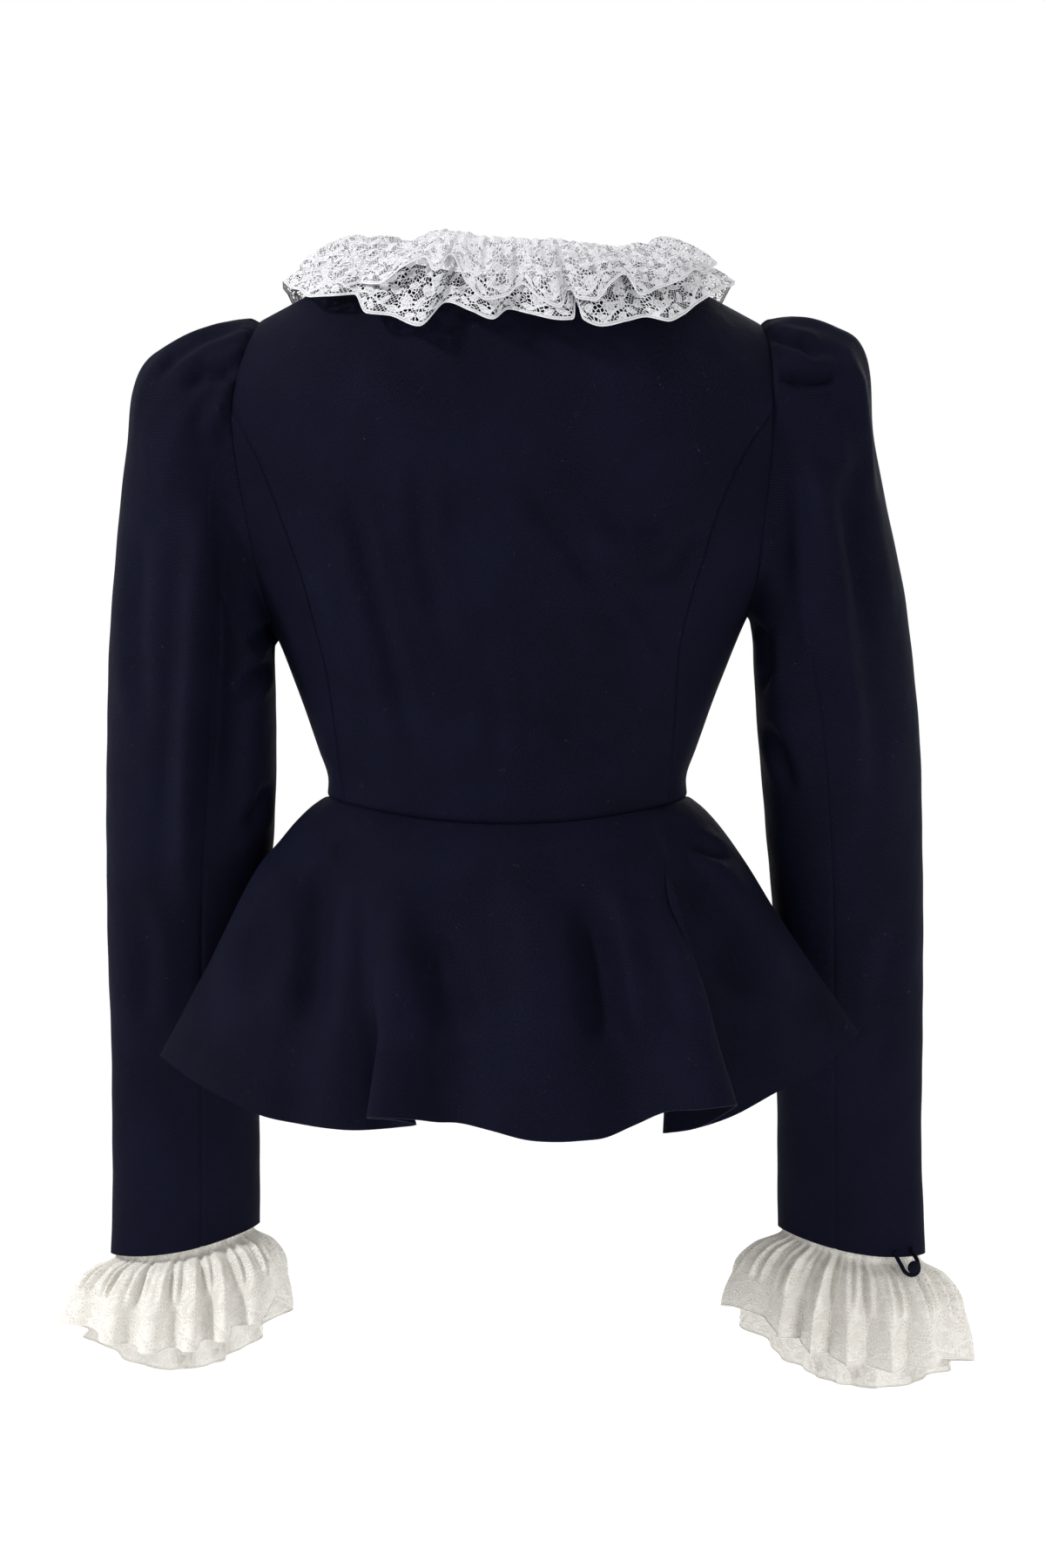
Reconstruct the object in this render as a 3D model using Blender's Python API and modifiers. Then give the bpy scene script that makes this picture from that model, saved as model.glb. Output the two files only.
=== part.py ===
"""A fitted peplum jacket with gathered sleeve heads, a two tier lace collar ruffle and lace cuff ruffles.

The wearer faces -Y, the wearer's left is +X and up is +Z. The origin lies midway between the two neck
points of the shoulder seams. Tables are in millimetres and degrees.
"""

import math

import bmesh
import bpy
import numpy as np
from mathutils import Matrix, Vector

MM = 0.001

# Cloth thicknesses and the gaps between sewn pieces, mm
CLOTH_WALL = 1.5
LACE_WALL = 1.0
SEAM_GAP = 0.3
WAIST_GAP = 1.3
ARMHOLE_GAP_TOP = 0.9
ARMHOLE_GAP_SIDE = 1.6
ARMHOLE_GAP_UNDERARM = 2.1

# Heights of the body, mm
WAIST = -362.4
SHELF = -100.0
UNDERARM_LEFT = -252.0
UNDERARM_RIGHT = -236.0
WAIST_DIP_BACK = -16.0
WAIST_DIP_FRONT = -4.0
DIP_FADE = 72.0
SECTION_POWER = 0.88

# Body sections: height, half width, depth to the back, depth to the front
BODY_SECTIONS = (
    (-362.4, 123.3, 72.0, 98.0),
    (-350.0, 122.6, 73.0, 99.0),
    (-330.0, 128.7, 75.0, 101.0),
    (-306.0, 137.1, 79.0, 106.0),
    (-282.0, 146.1, 84.0, 113.0),
    (-258.0, 155.8, 90.0, 121.0),
    (-236.0, 165.5, 95.0, 126.0),
    (-205.0, 184.0, 100.0, 128.0),
    (-174.0, 200.0, 102.5, 124.0),
    (-140.0, 208.0, 104.0, 116.0),
    (-100.0, 210.0, 104.0, 110.0),
    (-50.0, 206.0, 104.0, 108.0),
    (0.0, 200.0, 104.0, 108.0),
)

# Shoulder line: distance from the middle, height
SHOULDER_LINE = (
    (0.0, 27.0),
    (50.0, 20.0),
    (100.0, 0.0),
    (135.0, -19.0),
    (170.0, -37.8),
    (210.0, -60.0),
)

# Armhole edge at the back: height in the body's own scale, distance from the middle
ARMHOLE_BACK_LEFT = (
    (-250.0, 160.0),
    (-228.0, 165.5),
    (-174.0, 175.8),
    (-120.0, 184.8),
    (-98.0, 186.6),
    (-75.0, 183.0),
    (-50.0, 178.0),
    (-25.0, 172.5),
    (0.0, 169.5),
)
ARMHOLE_BACK_RIGHT = (
    (-234.0, 166.2),
    (-210.0, 170.0),
    (-186.0, 172.0),
    (-138.0, 177.0),
    (-100.0, 179.0),
    (-75.0, 178.5),
    (-50.0, 178.0),
    (-25.0, 175.5),
    (0.0, 173.5),
)
ARMHOLE_FRONT_LEFT = (
    (-250.0, 159.8),
    (-228.0, 162.0),
    (-190.0, 160.0),
    (-150.0, 160.0),
    (-110.0, 165.0),
    (-75.0, 168.0),
    (-50.0, 169.5),
    (-25.0, 169.5),
    (0.0, 169.5),
)
ARMHOLE_FRONT_RIGHT = (
    (-234.0, 165.5),
    (-210.0, 163.0),
    (-190.0, 161.0),
    (-150.0, 161.0),
    (-110.0, 167.0),
    (-75.0, 171.0),
    (-50.0, 173.0),
    (-25.0, 173.5),
    (0.0, 173.5),
)

# Princess seams from the waist up to the armhole: height, distance from the middle
PRINCESS_BACK_LEFT = (
    (-362.4, 110.8),
    (-322.0, 115.8),
    (-272.0, 123.8),
    (-244.0, 130.6),
    (-205.0, 140.9),
    (-174.0, 151.6),
    (-136.0, 166.5),
)
PRINCESS_BACK_RIGHT = (
    (-362.4, 110.0),
    (-312.0, 113.1),
    (-252.0, 117.5),
    (-200.0, 131.0),
    (-149.0, 149.0),
    (-122.0, 163.5),
)
PRINCESS_FRONT = (
    (-362.4, 66.0),
    (-322.0, 70.0),
    (-272.0, 80.0),
    (-225.0, 92.0),
    (-190.0, 106.0),
    (-160.0, 128.0),
    (-145.0, 145.0),
)
PRINCESS_TOP_BACK = -100.0
PRINCESS_TOP_FRONT = -128.0

# Neckline: distance from the middle, height in the body's own scale
NECK_BACK = (
    (0.0, -50.0),
    (30.0, -47.5),
    (60.0, -37.0),
    (85.0, -18.0),
    (100.0, 0.0),
)
NECK_FRONT = (
    (0.0, -100.0),
    (25.0, -96.0),
    (50.0, -84.0),
    (72.0, -62.0),
    (88.0, -35.0),
    (96.0, -15.0),
    (100.0, 0.0),
)
NECK_POINT = 100.0

# Grid counts of the panels
PRINCESS_SPANS = 7
ARMHOLE_SPANS = 6
SIDE_TOP_SPANS = 6
BACK_COLUMNS = 14
FRONT_COLUMNS = 6
FRONT_EDGE_SPANS = 7
SHOULDER_COLUMNS = 3

# Peplum hem: angle round the waist, x, y, z, sharpness of the flute on its way down
HEM = (
    (-180.0, -0.3, -186.0, -544.0, 1.5),
    (-172.0, -30.0, -177.0, -544.0, 1.5),
    (-165.0, -58.0, -172.0, -543.0, 1.5),
    (-157.0, -88.0, -170.0, -541.0, 1.5),
    (-150.0, -104.0, -148.0, -540.0, 1.5),
    (-143.0, -124.0, -138.0, -539.0, 1.5),
    (-135.0, -152.0, -134.0, -538.0, 1.5),
    (-127.0, -168.0, -104.0, -537.0, 1.5),
    (-119.0, -168.0, -68.0, -536.0, 1.5),
    (-111.0, -176.0, -32.0, -533.0, 1.5),
    (-104.0, -196.0, -12.0, -530.0, 1.4),
    (-99.0, -214.0, -10.0, -528.0, 1.3),
    (-94.5, -233.0, -7.0, -526.0, 1.4),
    (-91.0, -241.3, 5.0, -525.0, 1.4),
    (-88.0, -234.0, 20.0, -530.0, 1.35),
    (-84.0, -214.4, 42.0, -545.5, 1.1),
    (-75.0, -181.0, 73.0, -559.0, 1.1),
    (-67.0, -148.0, 92.0, -574.0, 1.2),
    (-61.0, -122.0, 100.0, -581.0, 1.2),
    (-56.5, -104.0, 111.0, -582.0, 1.2),
    (-52.5, -127.0, 128.0, -576.0, 1.2),
    (-48.5, -149.0, 150.0, -560.0, 1.2),
    (-44.0, -143.0, 165.0, -558.0, 1.2),
    (-38.0, -124.0, 166.0, -560.0, 1.3),
    (-32.0, -104.0, 156.0, -562.5, 1.4),
    (-26.0, -84.0, 148.0, -572.0, 1.5),
    (-20.0, -66.0, 156.0, -579.0, 1.6),
    (-13.0, -49.0, 167.0, -580.0, 1.6),
    (-7.0, -32.0, 171.0, -580.3, 1.6),
    (-1.0, -13.0, 169.0, -579.4, 1.7),
    (6.0, 11.0, 159.0, -574.4, 1.8),
    (13.0, 31.0, 147.0, -571.0, 2.0),
    (20.0, 46.0, 150.0, -570.0, 2.1),
    (26.0, 59.0, 162.0, -567.0, 2.2),
    (32.0, 74.0, 170.0, -565.2, 2.2),
    (37.0, 88.0, 168.0, -564.8, 2.2),
    (41.0, 90.0, 154.0, -567.0, 2.2),
    (45.0, 74.0, 142.0, -569.5, 2.2),
    (49.0, 60.0, 131.0, -574.0, 2.2),
    (53.0, 73.0, 121.0, -577.0, 2.1),
    (58.0, 97.0, 123.0, -578.5, 2.0),
    (64.0, 118.0, 118.0, -578.0, 1.8),
    (70.0, 139.0, 100.0, -577.0, 1.6),
    (76.0, 166.0, 91.0, -572.0, 1.4),
    (81.0, 190.0, 74.0, -563.0, 1.3),
    (85.0, 213.0, 48.0, -554.0, 1.0),
    (88.0, 231.0, 22.0, -545.0, 0.85),
    (91.0, 238.9, 5.0, -541.2, 0.85),
    (94.5, 232.0, -8.0, -541.5, 0.9),
    (99.0, 212.0, -13.0, -543.0, 1.3),
    (104.0, 187.0, -15.0, -544.0, 1.4),
    (111.0, 165.0, -34.0, -545.0, 1.5),
    (119.0, 156.0, -70.0, -545.0, 1.5),
    (127.0, 160.0, -104.0, -544.0, 1.5),
    (135.0, 148.0, -134.0, -543.0, 1.5),
    (143.0, 122.0, -138.0, -543.0, 1.5),
    (150.0, 101.0, -149.0, -543.0, 1.5),
    (157.0, 86.0, -170.0, -543.0, 1.5),
    (165.0, 58.0, -172.0, -544.0, 1.5),
    (172.0, 30.0, -177.0, -545.0, 1.5),
    (180.0, 0.3, -186.0, -545.0, 1.5),
)
HEM_SMOOTHING = 13.0

# Flare of the peplum: share of the drop, share of the way out
FLARE = (
    (0.0, 0.0),
    (0.03, 0.085),
    (0.09, 0.2),
    (0.156, 0.29),
    (0.24, 0.38),
    (0.5, 0.6),
    (1.0, 1.0),
)
PEPLUM_DROPS = (0.0, 0.07, 0.19, 0.36, 0.53, 0.7, 0.86, 1.0)
PEPLUM_SEAM = 101.0
PEPLUM_BACK_COLUMNS = 50
PEPLUM_FRONT_COLUMNS = 18

# Sleeves: outer x, outer z, inner x, inner z, y of the middle, half depth, share of the round form
SLEEVE_LEFT = (
    (187.0, -38.3, 160.6, -256.0, 0.0, 54.0, 0.1),
    (207.4, -43.6, 161.0, -262.0, 0.0, 57.0, 0.35),
    (228.9, -52.6, 161.0, -270.0, 0.0, 60.0, 0.65),
    (247.0, -64.0, 161.0, -279.0, -1.0, 62.0, 0.9),
    (256.5, -84.0, 160.6, -291.0, -2.0, 63.0, 1.0),
    (260.5, -121.0, 160.6, -305.0, -3.0, 62.0, 1.0),
    (266.0, -165.0, 160.4, -322.0, -6.0, 60.0, 1.0),
    (272.5, -228.0, 160.6, -347.0, -13.0, 57.0, 1.0),
    (277.6, -300.0, 163.6, -389.0, -27.0, 52.0, 1.0),
    (280.6, -390.0, 169.6, -436.0, -47.0, 46.0, 1.0),
    (281.5, -490.0, 174.4, -505.0, -70.0, 39.0, 1.0),
    (281.9, -590.0, 178.1, -585.0, -93.0, 34.5, 1.0),
    (284.9, -694.6, 179.0, -673.2, -112.0, 32.0, 1.0),
)
SLEEVE_RIGHT = (
    (188.5, -36.2, 167.0, -242.0, 0.0, 53.0, 0.1),
    (205.5, -36.0, 168.2, -250.0, 0.0, 56.0, 0.35),
    (223.4, -41.2, 169.3, -260.0, 0.0, 59.0, 0.65),
    (239.5, -50.0, 170.0, -271.0, -1.0, 62.0, 0.9),
    (248.0, -72.0, 171.0, -284.0, -2.0, 63.0, 1.0),
    (250.5, -112.0, 172.2, -300.0, -3.0, 62.0, 1.0),
    (260.5, -166.0, 173.8, -320.0, -6.0, 60.0, 1.0),
    (274.2, -228.0, 176.2, -347.0, -13.0, 57.0, 1.0),
    (283.6, -300.0, 180.4, -389.0, -27.0, 52.0, 1.0),
    (289.6, -390.0, 185.5, -436.0, -47.0, 46.0, 1.0),
    (293.0, -490.0, 189.3, -505.0, -70.0, 39.0, 1.0),
    (294.0, -590.0, 192.8, -585.0, -93.0, 34.5, 1.0),
    (299.0, -694.6, 194.2, -675.5, -112.0, 32.0, 1.0),
)
HINDARM_ANGLE = 105.0
FOREARM_ANGLE = 250.0
HINDARM_INDEX = 13
UNDERARM_INDEX = 2 * ARMHOLE_SPANS + SIDE_TOP_SPANS
FOREARM_INDEX = 22
CUFF_EDGE_DROP = 5.6

# Gathers of the sleeve head: place round the armhole, share of the sleeve where it ends, height
GATHERS_LEFT = (
    (-62.0, 0.42, 2.4),
    (-44.0, 0.5, 3.0),
    (-27.0, 0.36, 3.2),
    (-9.0, 0.46, 2.8),
    (10.0, 0.38, 3.2),
    (27.0, 0.52, 3.0),
    (45.0, 0.4, 3.6),
    (64.0, 0.55, 2.6),
)
GATHERS_RIGHT = (
    (-60.0, 0.45, 2.6),
    (-41.0, 0.4, 3.0),
    (-23.0, 0.5, 2.8),
    (-7.0, 0.35, 3.4),
    (12.0, 0.44, 3.6),
    (30.0, 0.34, 3.0),
    (48.0, 0.5, 3.2),
    (66.0, 0.42, 2.4),
)
GATHER_WIDTH = 7.0
GATHER_START = 0.35
GATHER_GROWTH = 6.0

# Collar ruffle tiers: share of the fall line, height over the body, lift, lift on the shoulders, wave
COLLAR_LOWER = (
    (0.0, 1.2, 1.2, 0.0, 0.8),
    (-0.02, 6.5, 3.5, -1.0, 1.2),
    (0.1, 10.5, 4.5, 0.0, 2.0),
    (0.34, 13.0, 3.5, 0.5, 3.4),
    (0.64, 13.5, 1.0, 3.0, 5.0),
    (0.86, 12.5, 0.0, 5.0, 6.2),
    (1.08, 11.5, 0.0, 4.0, 7.0),
)
COLLAR_UPPER = (
    (-0.035, 1.2, 1.2, 0.0, 0.8),
    (-0.09, 10.0, 6.0, -1.5, 1.2),
    (0.02, 16.0, 7.5, -4.0, 2.0),
    (0.27, 20.0, 6.0, -5.0, 3.4),
    (0.5, 20.5, 3.5, -1.5, 4.8),
    (0.7, 19.5, 1.5, 1.0, 5.8),
)
SHOULDER_SPREAD = 0.2
# Fall line of the collar: x, height on the body's own scale
FALL_BACK = (
    (0.0, -76.0),
    (50.0, -76.0),
    (80.0, -68.0),
    (108.0, -54.0),
    (132.0, -33.0),
    (146.0, 0.0),
)
FALL_FRONT = (
    (0.0, -146.0),
    (40.0, -140.0),
    (75.0, -126.0),
    (105.0, -98.0),
    (128.0, -62.0),
    (142.0, -25.0),
    (146.0, 0.0),
)
COLLAR_WAVES = 18
COLLAR_STEPS = 4
COLLAR_PHASE = 0.5
BACK_SHARE = 0.45

# Cuff ruffle: share of the drop, share of the spread, wave
CUFF_PROFILE = (
    (0.06, 0.0, 0.8),
    (0.2, 0.42, 2.6),
    (0.5, 0.8, 5.2),
    (1.0, 1.0, 7.4),
)
CUFF_TUCK = 10.0
CUFF_CLEAR = 4.2
# Cuff ruffle edge: middle x, middle y, half width, half depth, z outer, z inner, z back, z front
CUFF_EDGE_LEFT = (236.0, -113.0, 77.0, 52.0, -746.0, -730.0, -757.0, -789.0)
CUFF_EDGE_RIGHT = (244.0, -113.0, 82.5, 52.0, -772.0, -732.0, -767.0, -800.0)
CUFF_WAVES_LEFT = 12
CUFF_WAVES_RIGHT = 13
CUFF_STEPS = 4

# Front closing: heights of the buttons and their sizes
BUTTON_HEIGHTS = (-172.0, -216.0, -260.0, -304.0, -346.0)
BUTTON_RADIUS = 6.5
BUTTON_RISE = 8.2
SHANK_RADIUS = 2.4
BUTTON_OFFSET = 10.0
LOOP_CORD = 2.4
FASTENING_GAP = 0.7
CUFF_BUTTON_RADIUS = 4.6
CUFF_BUTTON_INDEX = 6

# Colours as linear red, green, blue
NAVY = (0.0103, 0.0116, 0.0273, 1.0)
LACE_WHITE = (0.72, 0.70, 0.66, 1.0)
LACE_CREAM = (0.68, 0.64, 0.57, 1.0)
WOOL_ROUGHNESS = 0.85
LACE_ROUGHNESS = 0.8


def through(rows, at):
    """Values of the later columns of a table on the smooth curve through its rows."""
    table = np.array(rows, float)
    keys = table[:, 0]
    values = table[:, 1:]
    slopes = np.gradient(values, keys, axis=0)
    at = np.clip(np.asarray(at, float), keys[0], keys[-1])
    low = np.clip(np.searchsorted(keys, at, side="right") - 1, 0, len(keys) - 2)
    span = (keys[low + 1] - keys[low])[..., None]
    part = ((at - keys[low]))[..., None] / span
    start = (1 + 2 * part) * (1 - part) ** 2
    end = part ** 2 * (3 - 2 * part)
    leave = part * (1 - part) ** 2 * span
    arrive = part ** 2 * (part - 1) * span
    return start * values[low] + end * values[low + 1] + leave * slopes[low] + arrive * slopes[low + 1]


def half_width_at(level):
    """Half width of the body at a height."""
    return through(BODY_SECTIONS, level)[..., 0]


def body_point(turn, level):
    """Point of the body's cloth at an angle from the centre back, radians, and a height, mm."""
    turn = np.asarray(turn, float)
    level = np.asarray(level, float)
    half_width, back, front = np.moveaxis(through(BODY_SECTIONS, np.minimum(level, 0.0)), -1, 0)
    lean = np.clip((level - SHELF) / -SHELF, 0.0, None) * math.pi / 2
    forward = np.cos(turn)
    depth = np.where(forward >= 0, back, front)
    x = half_width * np.sin(turn)
    y = depth * np.sign(forward) * np.abs(forward) ** SECTION_POWER * np.cos(lean)
    ridge = through(SHOULDER_LINE, np.abs(x))[..., 0]
    fade = np.clip((WAIST + DIP_FADE - level) / DIP_FADE, 0.0, 1.0)
    dip = np.where(forward >= 0, WAIST_DIP_BACK, WAIST_DIP_FRONT) * forward ** 2
    low = level + dip * fade ** 2 * (3 - 2 * fade)
    z = np.where(level < SHELF, low, SHELF + (ridge - SHELF) * np.sin(lean))
    return np.stack(np.broadcast_arrays(x, y, z), axis=-1)


def body_normal(turn, level):
    """Outward direction of the body's cloth."""
    across = body_point(turn + 1e-4, level) - body_point(turn - 1e-4, level)
    up = body_point(turn, level + 0.01) - body_point(turn, level - 0.01)
    out = np.cross(up, across)
    return out / np.linalg.norm(out, axis=-1, keepdims=True)


def turn_at(distance, level, front=False):
    """Angle round the body at which it stands this far from the middle at a height."""
    ratio = np.clip(np.asarray(distance, float) / half_width_at(level), 0.0, 1.0)
    turn = np.arcsin(ratio)
    return math.pi - turn if front else turn


def spaced(path, count):
    """Rows of a dense path of angle and height, spaced evenly by length on the body."""
    points = body_point(path[:, 0], path[:, 1])
    length = np.concatenate([[0.0], np.cumsum(np.linalg.norm(np.diff(points, axis=0), axis=1))])
    wanted = np.linspace(0.0, length[-1], count + 1)
    return np.stack([np.interp(wanted, length, path[:, k]) for k in (0, 1)], axis=1)


def path_by_level(rows, low, high, front=False, count=200):
    """Dense path along a table of height and distance from the middle."""
    level = np.linspace(low, high, count)
    distance = through(rows, level)[..., 0]
    return np.stack([turn_at(distance, level, front), level], axis=1)


def path_by_distance(rows, start, end, front=False, count=200):
    """Dense path along a table of distance from the middle and height."""
    distance = np.linspace(start, end, count)
    level = through(rows, distance)[..., 0]
    return np.stack([turn_at(distance, level, front), level], axis=1)


class Side:
    """Seam lines of one side of the body, as rows of angle and height."""

    def __init__(self, sign):
        self.sign = sign
        left = sign > 0
        self.back_table = ARMHOLE_BACK_LEFT if left else ARMHOLE_BACK_RIGHT
        self.front_table = ARMHOLE_FRONT_LEFT if left else ARMHOLE_FRONT_RIGHT
        self.underarm = UNDERARM_LEFT if left else UNDERARM_RIGHT
        princess = PRINCESS_BACK_LEFT if left else PRINCESS_BACK_RIGHT
        top = float(through(self.back_table, PRINCESS_TOP_BACK)[..., 0])
        self.princess_back = spaced(
            path_by_level(princess + ((PRINCESS_TOP_BACK, top),), WAIST, PRINCESS_TOP_BACK), PRINCESS_SPANS)
        top = float(through(self.front_table, PRINCESS_TOP_FRONT)[..., 0])
        self.princess_front = spaced(
            path_by_level(PRINCESS_FRONT + ((PRINCESS_TOP_FRONT, top),), WAIST, PRINCESS_TOP_FRONT, True),
            PRINCESS_SPANS)
        self.arm_back_up = spaced(path_by_level(self.back_table, PRINCESS_TOP_BACK, 0.0), ARMHOLE_SPANS)
        self.arm_front_up = spaced(path_by_level(self.front_table, PRINCESS_TOP_FRONT, 0.0, True),
                                   ARMHOLE_SPANS)
        self.arm_back_low = spaced(self.closed_low(self.back_table, PRINCESS_TOP_BACK, False), SIDE_TOP_SPANS)
        self.arm_front_low = spaced(self.closed_low(self.front_table, PRINCESS_TOP_FRONT, True),
                                    SIDE_TOP_SPANS)
        level = np.linspace(WAIST, self.underarm, 200)
        self.side_seam = spaced(np.stack([np.full(200, math.pi / 2), level], axis=1), PRINCESS_SPANS)

    def closed_low(self, table, top, front):
        """Lower part of the armhole, from its princess seam down to the underarm point."""
        low = table[0][0]
        path = path_by_level(table, low, top, front)[::-1]
        return np.vstack([path, [[math.pi / 2, self.underarm]]])

    def shoulder(self, front=False):
        """Dense path along the shoulder seam from the neck point to the armhole."""
        distance = np.linspace(NECK_POINT, self.back_table[-1][1], 200)
        level = np.zeros(200)
        return np.stack([turn_at(distance, level, front), level], axis=1)

    def armhole(self):
        """Whole armhole from the shoulder down the back and up the front."""
        rows = [self.arm_back_up[::-1], self.arm_back_low[1:], self.arm_front_low[::-1][1:],
                self.arm_front_up[1:]]
        return np.vstack(rows)


def place(rows, sign):
    """Rows of angle and height on the wearer's left or right."""
    return rows * np.array([sign, 1.0])


def patch(low, high, left, right):
    """Grid of angle and height filled in between four edges."""
    s = np.linspace(0.0, 1.0, len(low))[None, :, None]
    t = np.linspace(0.0, 1.0, len(left))[:, None, None]
    ruled = (1 - t) * low[None] + t * high[None]
    crossed = (1 - s) * left[:, None] + s * right[:, None]
    corners = ((1 - s) * (1 - t) * low[0] + s * (1 - t) * low[-1]
               + (1 - s) * t * high[0] + s * t * high[-1])
    return ruled + crossed - corners


def pull_in(points, gaps):
    """Moves the edges of a grid inward; gaps are for the left, right, low and high edges, mm."""
    moved = points.copy()
    edges = (
        ((slice(None), 0), (slice(None), 1), gaps[0]),
        ((slice(None), -1), (slice(None), -2), gaps[1]),
        ((0, slice(None)), (1, slice(None)), gaps[2]),
        ((-1, slice(None)), (-2, slice(None)), gaps[3]),
    )
    for edge, inner, gap in edges:
        if not gap:
            continue
        along = np.gradient(points[edge], axis=0)
        along /= np.maximum(np.linalg.norm(along, axis=-1, keepdims=True), 1e-9)
        inward = points[inner] - points[edge]
        inward -= (inward * along).sum(-1, keepdims=True) * along
        inward /= np.maximum(np.linalg.norm(inward, axis=-1, keepdims=True), 1e-9)
        moved[edge] += inward * gap
    return moved


def material(name, colour, roughness):
    """Principled material of one piece."""
    made = bpy.data.materials.new(name)
    made.use_nodes = True
    shader = made.node_tree.nodes["Principled BSDF"]
    shader.inputs["Base Color"].default_value = colour
    shader.inputs["Roughness"].default_value = roughness
    shader.inputs["Metallic"].default_value = 0.0
    made.diffuse_color = colour
    return made


def cloth(name, points, wall, colour, roughness, closed=False):
    """Closed cloth wall of even thickness over a grid of points in mm."""
    rows, columns = points.shape[:2]
    mesh = bpy.data.meshes.new(name)
    faces = []
    for row in range(rows - 1):
        for column in range(columns if closed else columns - 1):
            after = (column + 1) % columns
            faces.append((row * columns + column, row * columns + after,
                          (row + 1) * columns + after, (row + 1) * columns + column))
    mesh.from_pydata((points.reshape(-1, 3) * MM).tolist(), [], faces)
    mesh.materials.append(material(name, colour, roughness))
    body = bpy.data.objects.new(name, mesh)
    COLLECTION.objects.link(body)
    thick = body.modifiers.new("wall", "SOLIDIFY")
    thick.thickness = wall * MM
    thick.offset = 0.0
    thick.use_even_offset = False
    thick.use_rim = True
    for face in mesh.polygons:
        face.use_smooth = True
    return body


def lerp_rows(first, last, count):
    """Rows of angle and height between two ends."""
    part = np.linspace(0.0, 1.0, count + 1)[:, None]
    return np.array(first) * (1 - part) + np.array(last) * part


def build_bodice(left, right):
    """Back, side back, side front and front panels."""
    half = SEAM_GAP / 2
    back_left = np.vstack([left.princess_back, left.arm_back_up[1:]])
    back_right = place(np.vstack([right.princess_back, right.arm_back_up[1:]]), -1)
    low = lerp_rows(back_right[0], back_left[0], BACK_COLUMNS)
    neck_left = path_by_distance(NECK_BACK, 0.0, NECK_POINT)
    neck_columns = (BACK_COLUMNS - 2 * SHOULDER_COLUMNS) // 2
    up_right = place(np.vstack([spaced(right.shoulder(), SHOULDER_COLUMNS)[::-1],
                                spaced(neck_left, neck_columns)[::-1][1:]]), -1)
    up_left = np.vstack([spaced(neck_left, neck_columns)[1:], spaced(left.shoulder(), SHOULDER_COLUMNS)[1:]])
    high = np.vstack([up_right, up_left])
    grid = patch(low, high, back_right, back_left)
    points = pull_in(body_point(grid[..., 0], grid[..., 1]), (half, half, 0.0, half))
    cloth("back", points, CLOTH_WALL, NAVY, WOOL_ROUGHNESS)
    for side, label in ((left, "left"), (right, "right")):
        sign = side.sign
        low = lerp_rows(side.princess_back[0], side.side_seam[0], SIDE_TOP_SPANS)
        grid = patch(low, side.arm_back_low, side.princess_back, side.side_seam)
        points = pull_in(body_point(sign * grid[..., 0], grid[..., 1]), (half, half, 0.0, 0.0))
        cloth("side_back_" + label, points, CLOTH_WALL, NAVY, WOOL_ROUGHNESS)
        low = lerp_rows(side.princess_front[0], side.side_seam[0], SIDE_TOP_SPANS)
        grid = patch(low, side.arm_front_low, side.princess_front, side.side_seam)
        points = pull_in(body_point(sign * grid[..., 0], grid[..., 1]), (half, half, 0.0, 0.0))
        cloth("side_front_" + label, points, CLOTH_WALL, NAVY, WOOL_ROUGHNESS)
        edge = spaced(np.stack([np.full(200, math.pi), np.linspace(WAIST, SHELF, 200)], axis=1),
                      FRONT_EDGE_SPANS)
        neck_spans = PRINCESS_SPANS + ARMHOLE_SPANS - FRONT_EDGE_SPANS
        neck = spaced(path_by_distance(NECK_FRONT, 0.0, NECK_POINT, True), neck_spans)
        inner = np.vstack([edge, neck[1:]])
        outer = np.vstack([side.princess_front, side.arm_front_up[1:]])
        low = lerp_rows(inner[0], outer[0], FRONT_COLUMNS)
        high = spaced(side.shoulder(True), FRONT_COLUMNS)
        grid = patch(low, high, inner, outer)
        points = pull_in(body_point(sign * grid[..., 0], grid[..., 1]), (half, half, 0.0, half))
        cloth("front_" + label, points, CLOTH_WALL, NAVY, WOOL_ROUGHNESS)


def smooth_hem(angles):
    """Mean line of the hem without its flutes, at angles in degrees."""
    dense = np.linspace(-180.0, 180.0, 720, endpoint=False)
    hem = through(HEM, dense)[..., :3]
    apart = (np.asarray(angles)[:, None] - dense[None] + 180.0) % 360.0 - 180.0
    weight = np.exp(-0.5 * (apart / HEM_SMOOTHING) ** 2)
    return (weight[..., None] * hem[None]).sum(1) / weight.sum(1)[:, None]


def peplum_points(angles):
    """Grid of peplum points, a row per drop and a column per angle, mm."""
    top = body_point(np.radians(angles), np.full(len(angles), WAIST))
    top[:, 2] -= WAIST_GAP
    hem = through(HEM, angles)
    mean = smooth_hem(angles)
    rows = []
    for drop in PEPLUM_DROPS:
        out = float(through(FLARE, drop)[..., 0])
        flute = drop ** hem[:, 3:4]
        point = top + (mean - top) * out + (hem[:, :3] - mean) * flute
        point[:, 2] = top[:, 2] + (mean[:, 2] - top[:, 2]) * drop + (hem[:, 2] - mean[:, 2]) * flute[:, 0]
        rows.append(point)
    return np.array(rows)


def hem_columns(start, end, count):
    """Angles between two ends, spaced evenly by length along the hem."""
    dense = np.linspace(start, end, 800)
    hem = through(HEM, dense)[..., :3]
    length = np.concatenate([[0.0], np.cumsum(np.linalg.norm(np.diff(hem, axis=0), axis=1))])
    return np.interp(np.linspace(0.0, length[-1], count + 1), length, dense)


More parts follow.
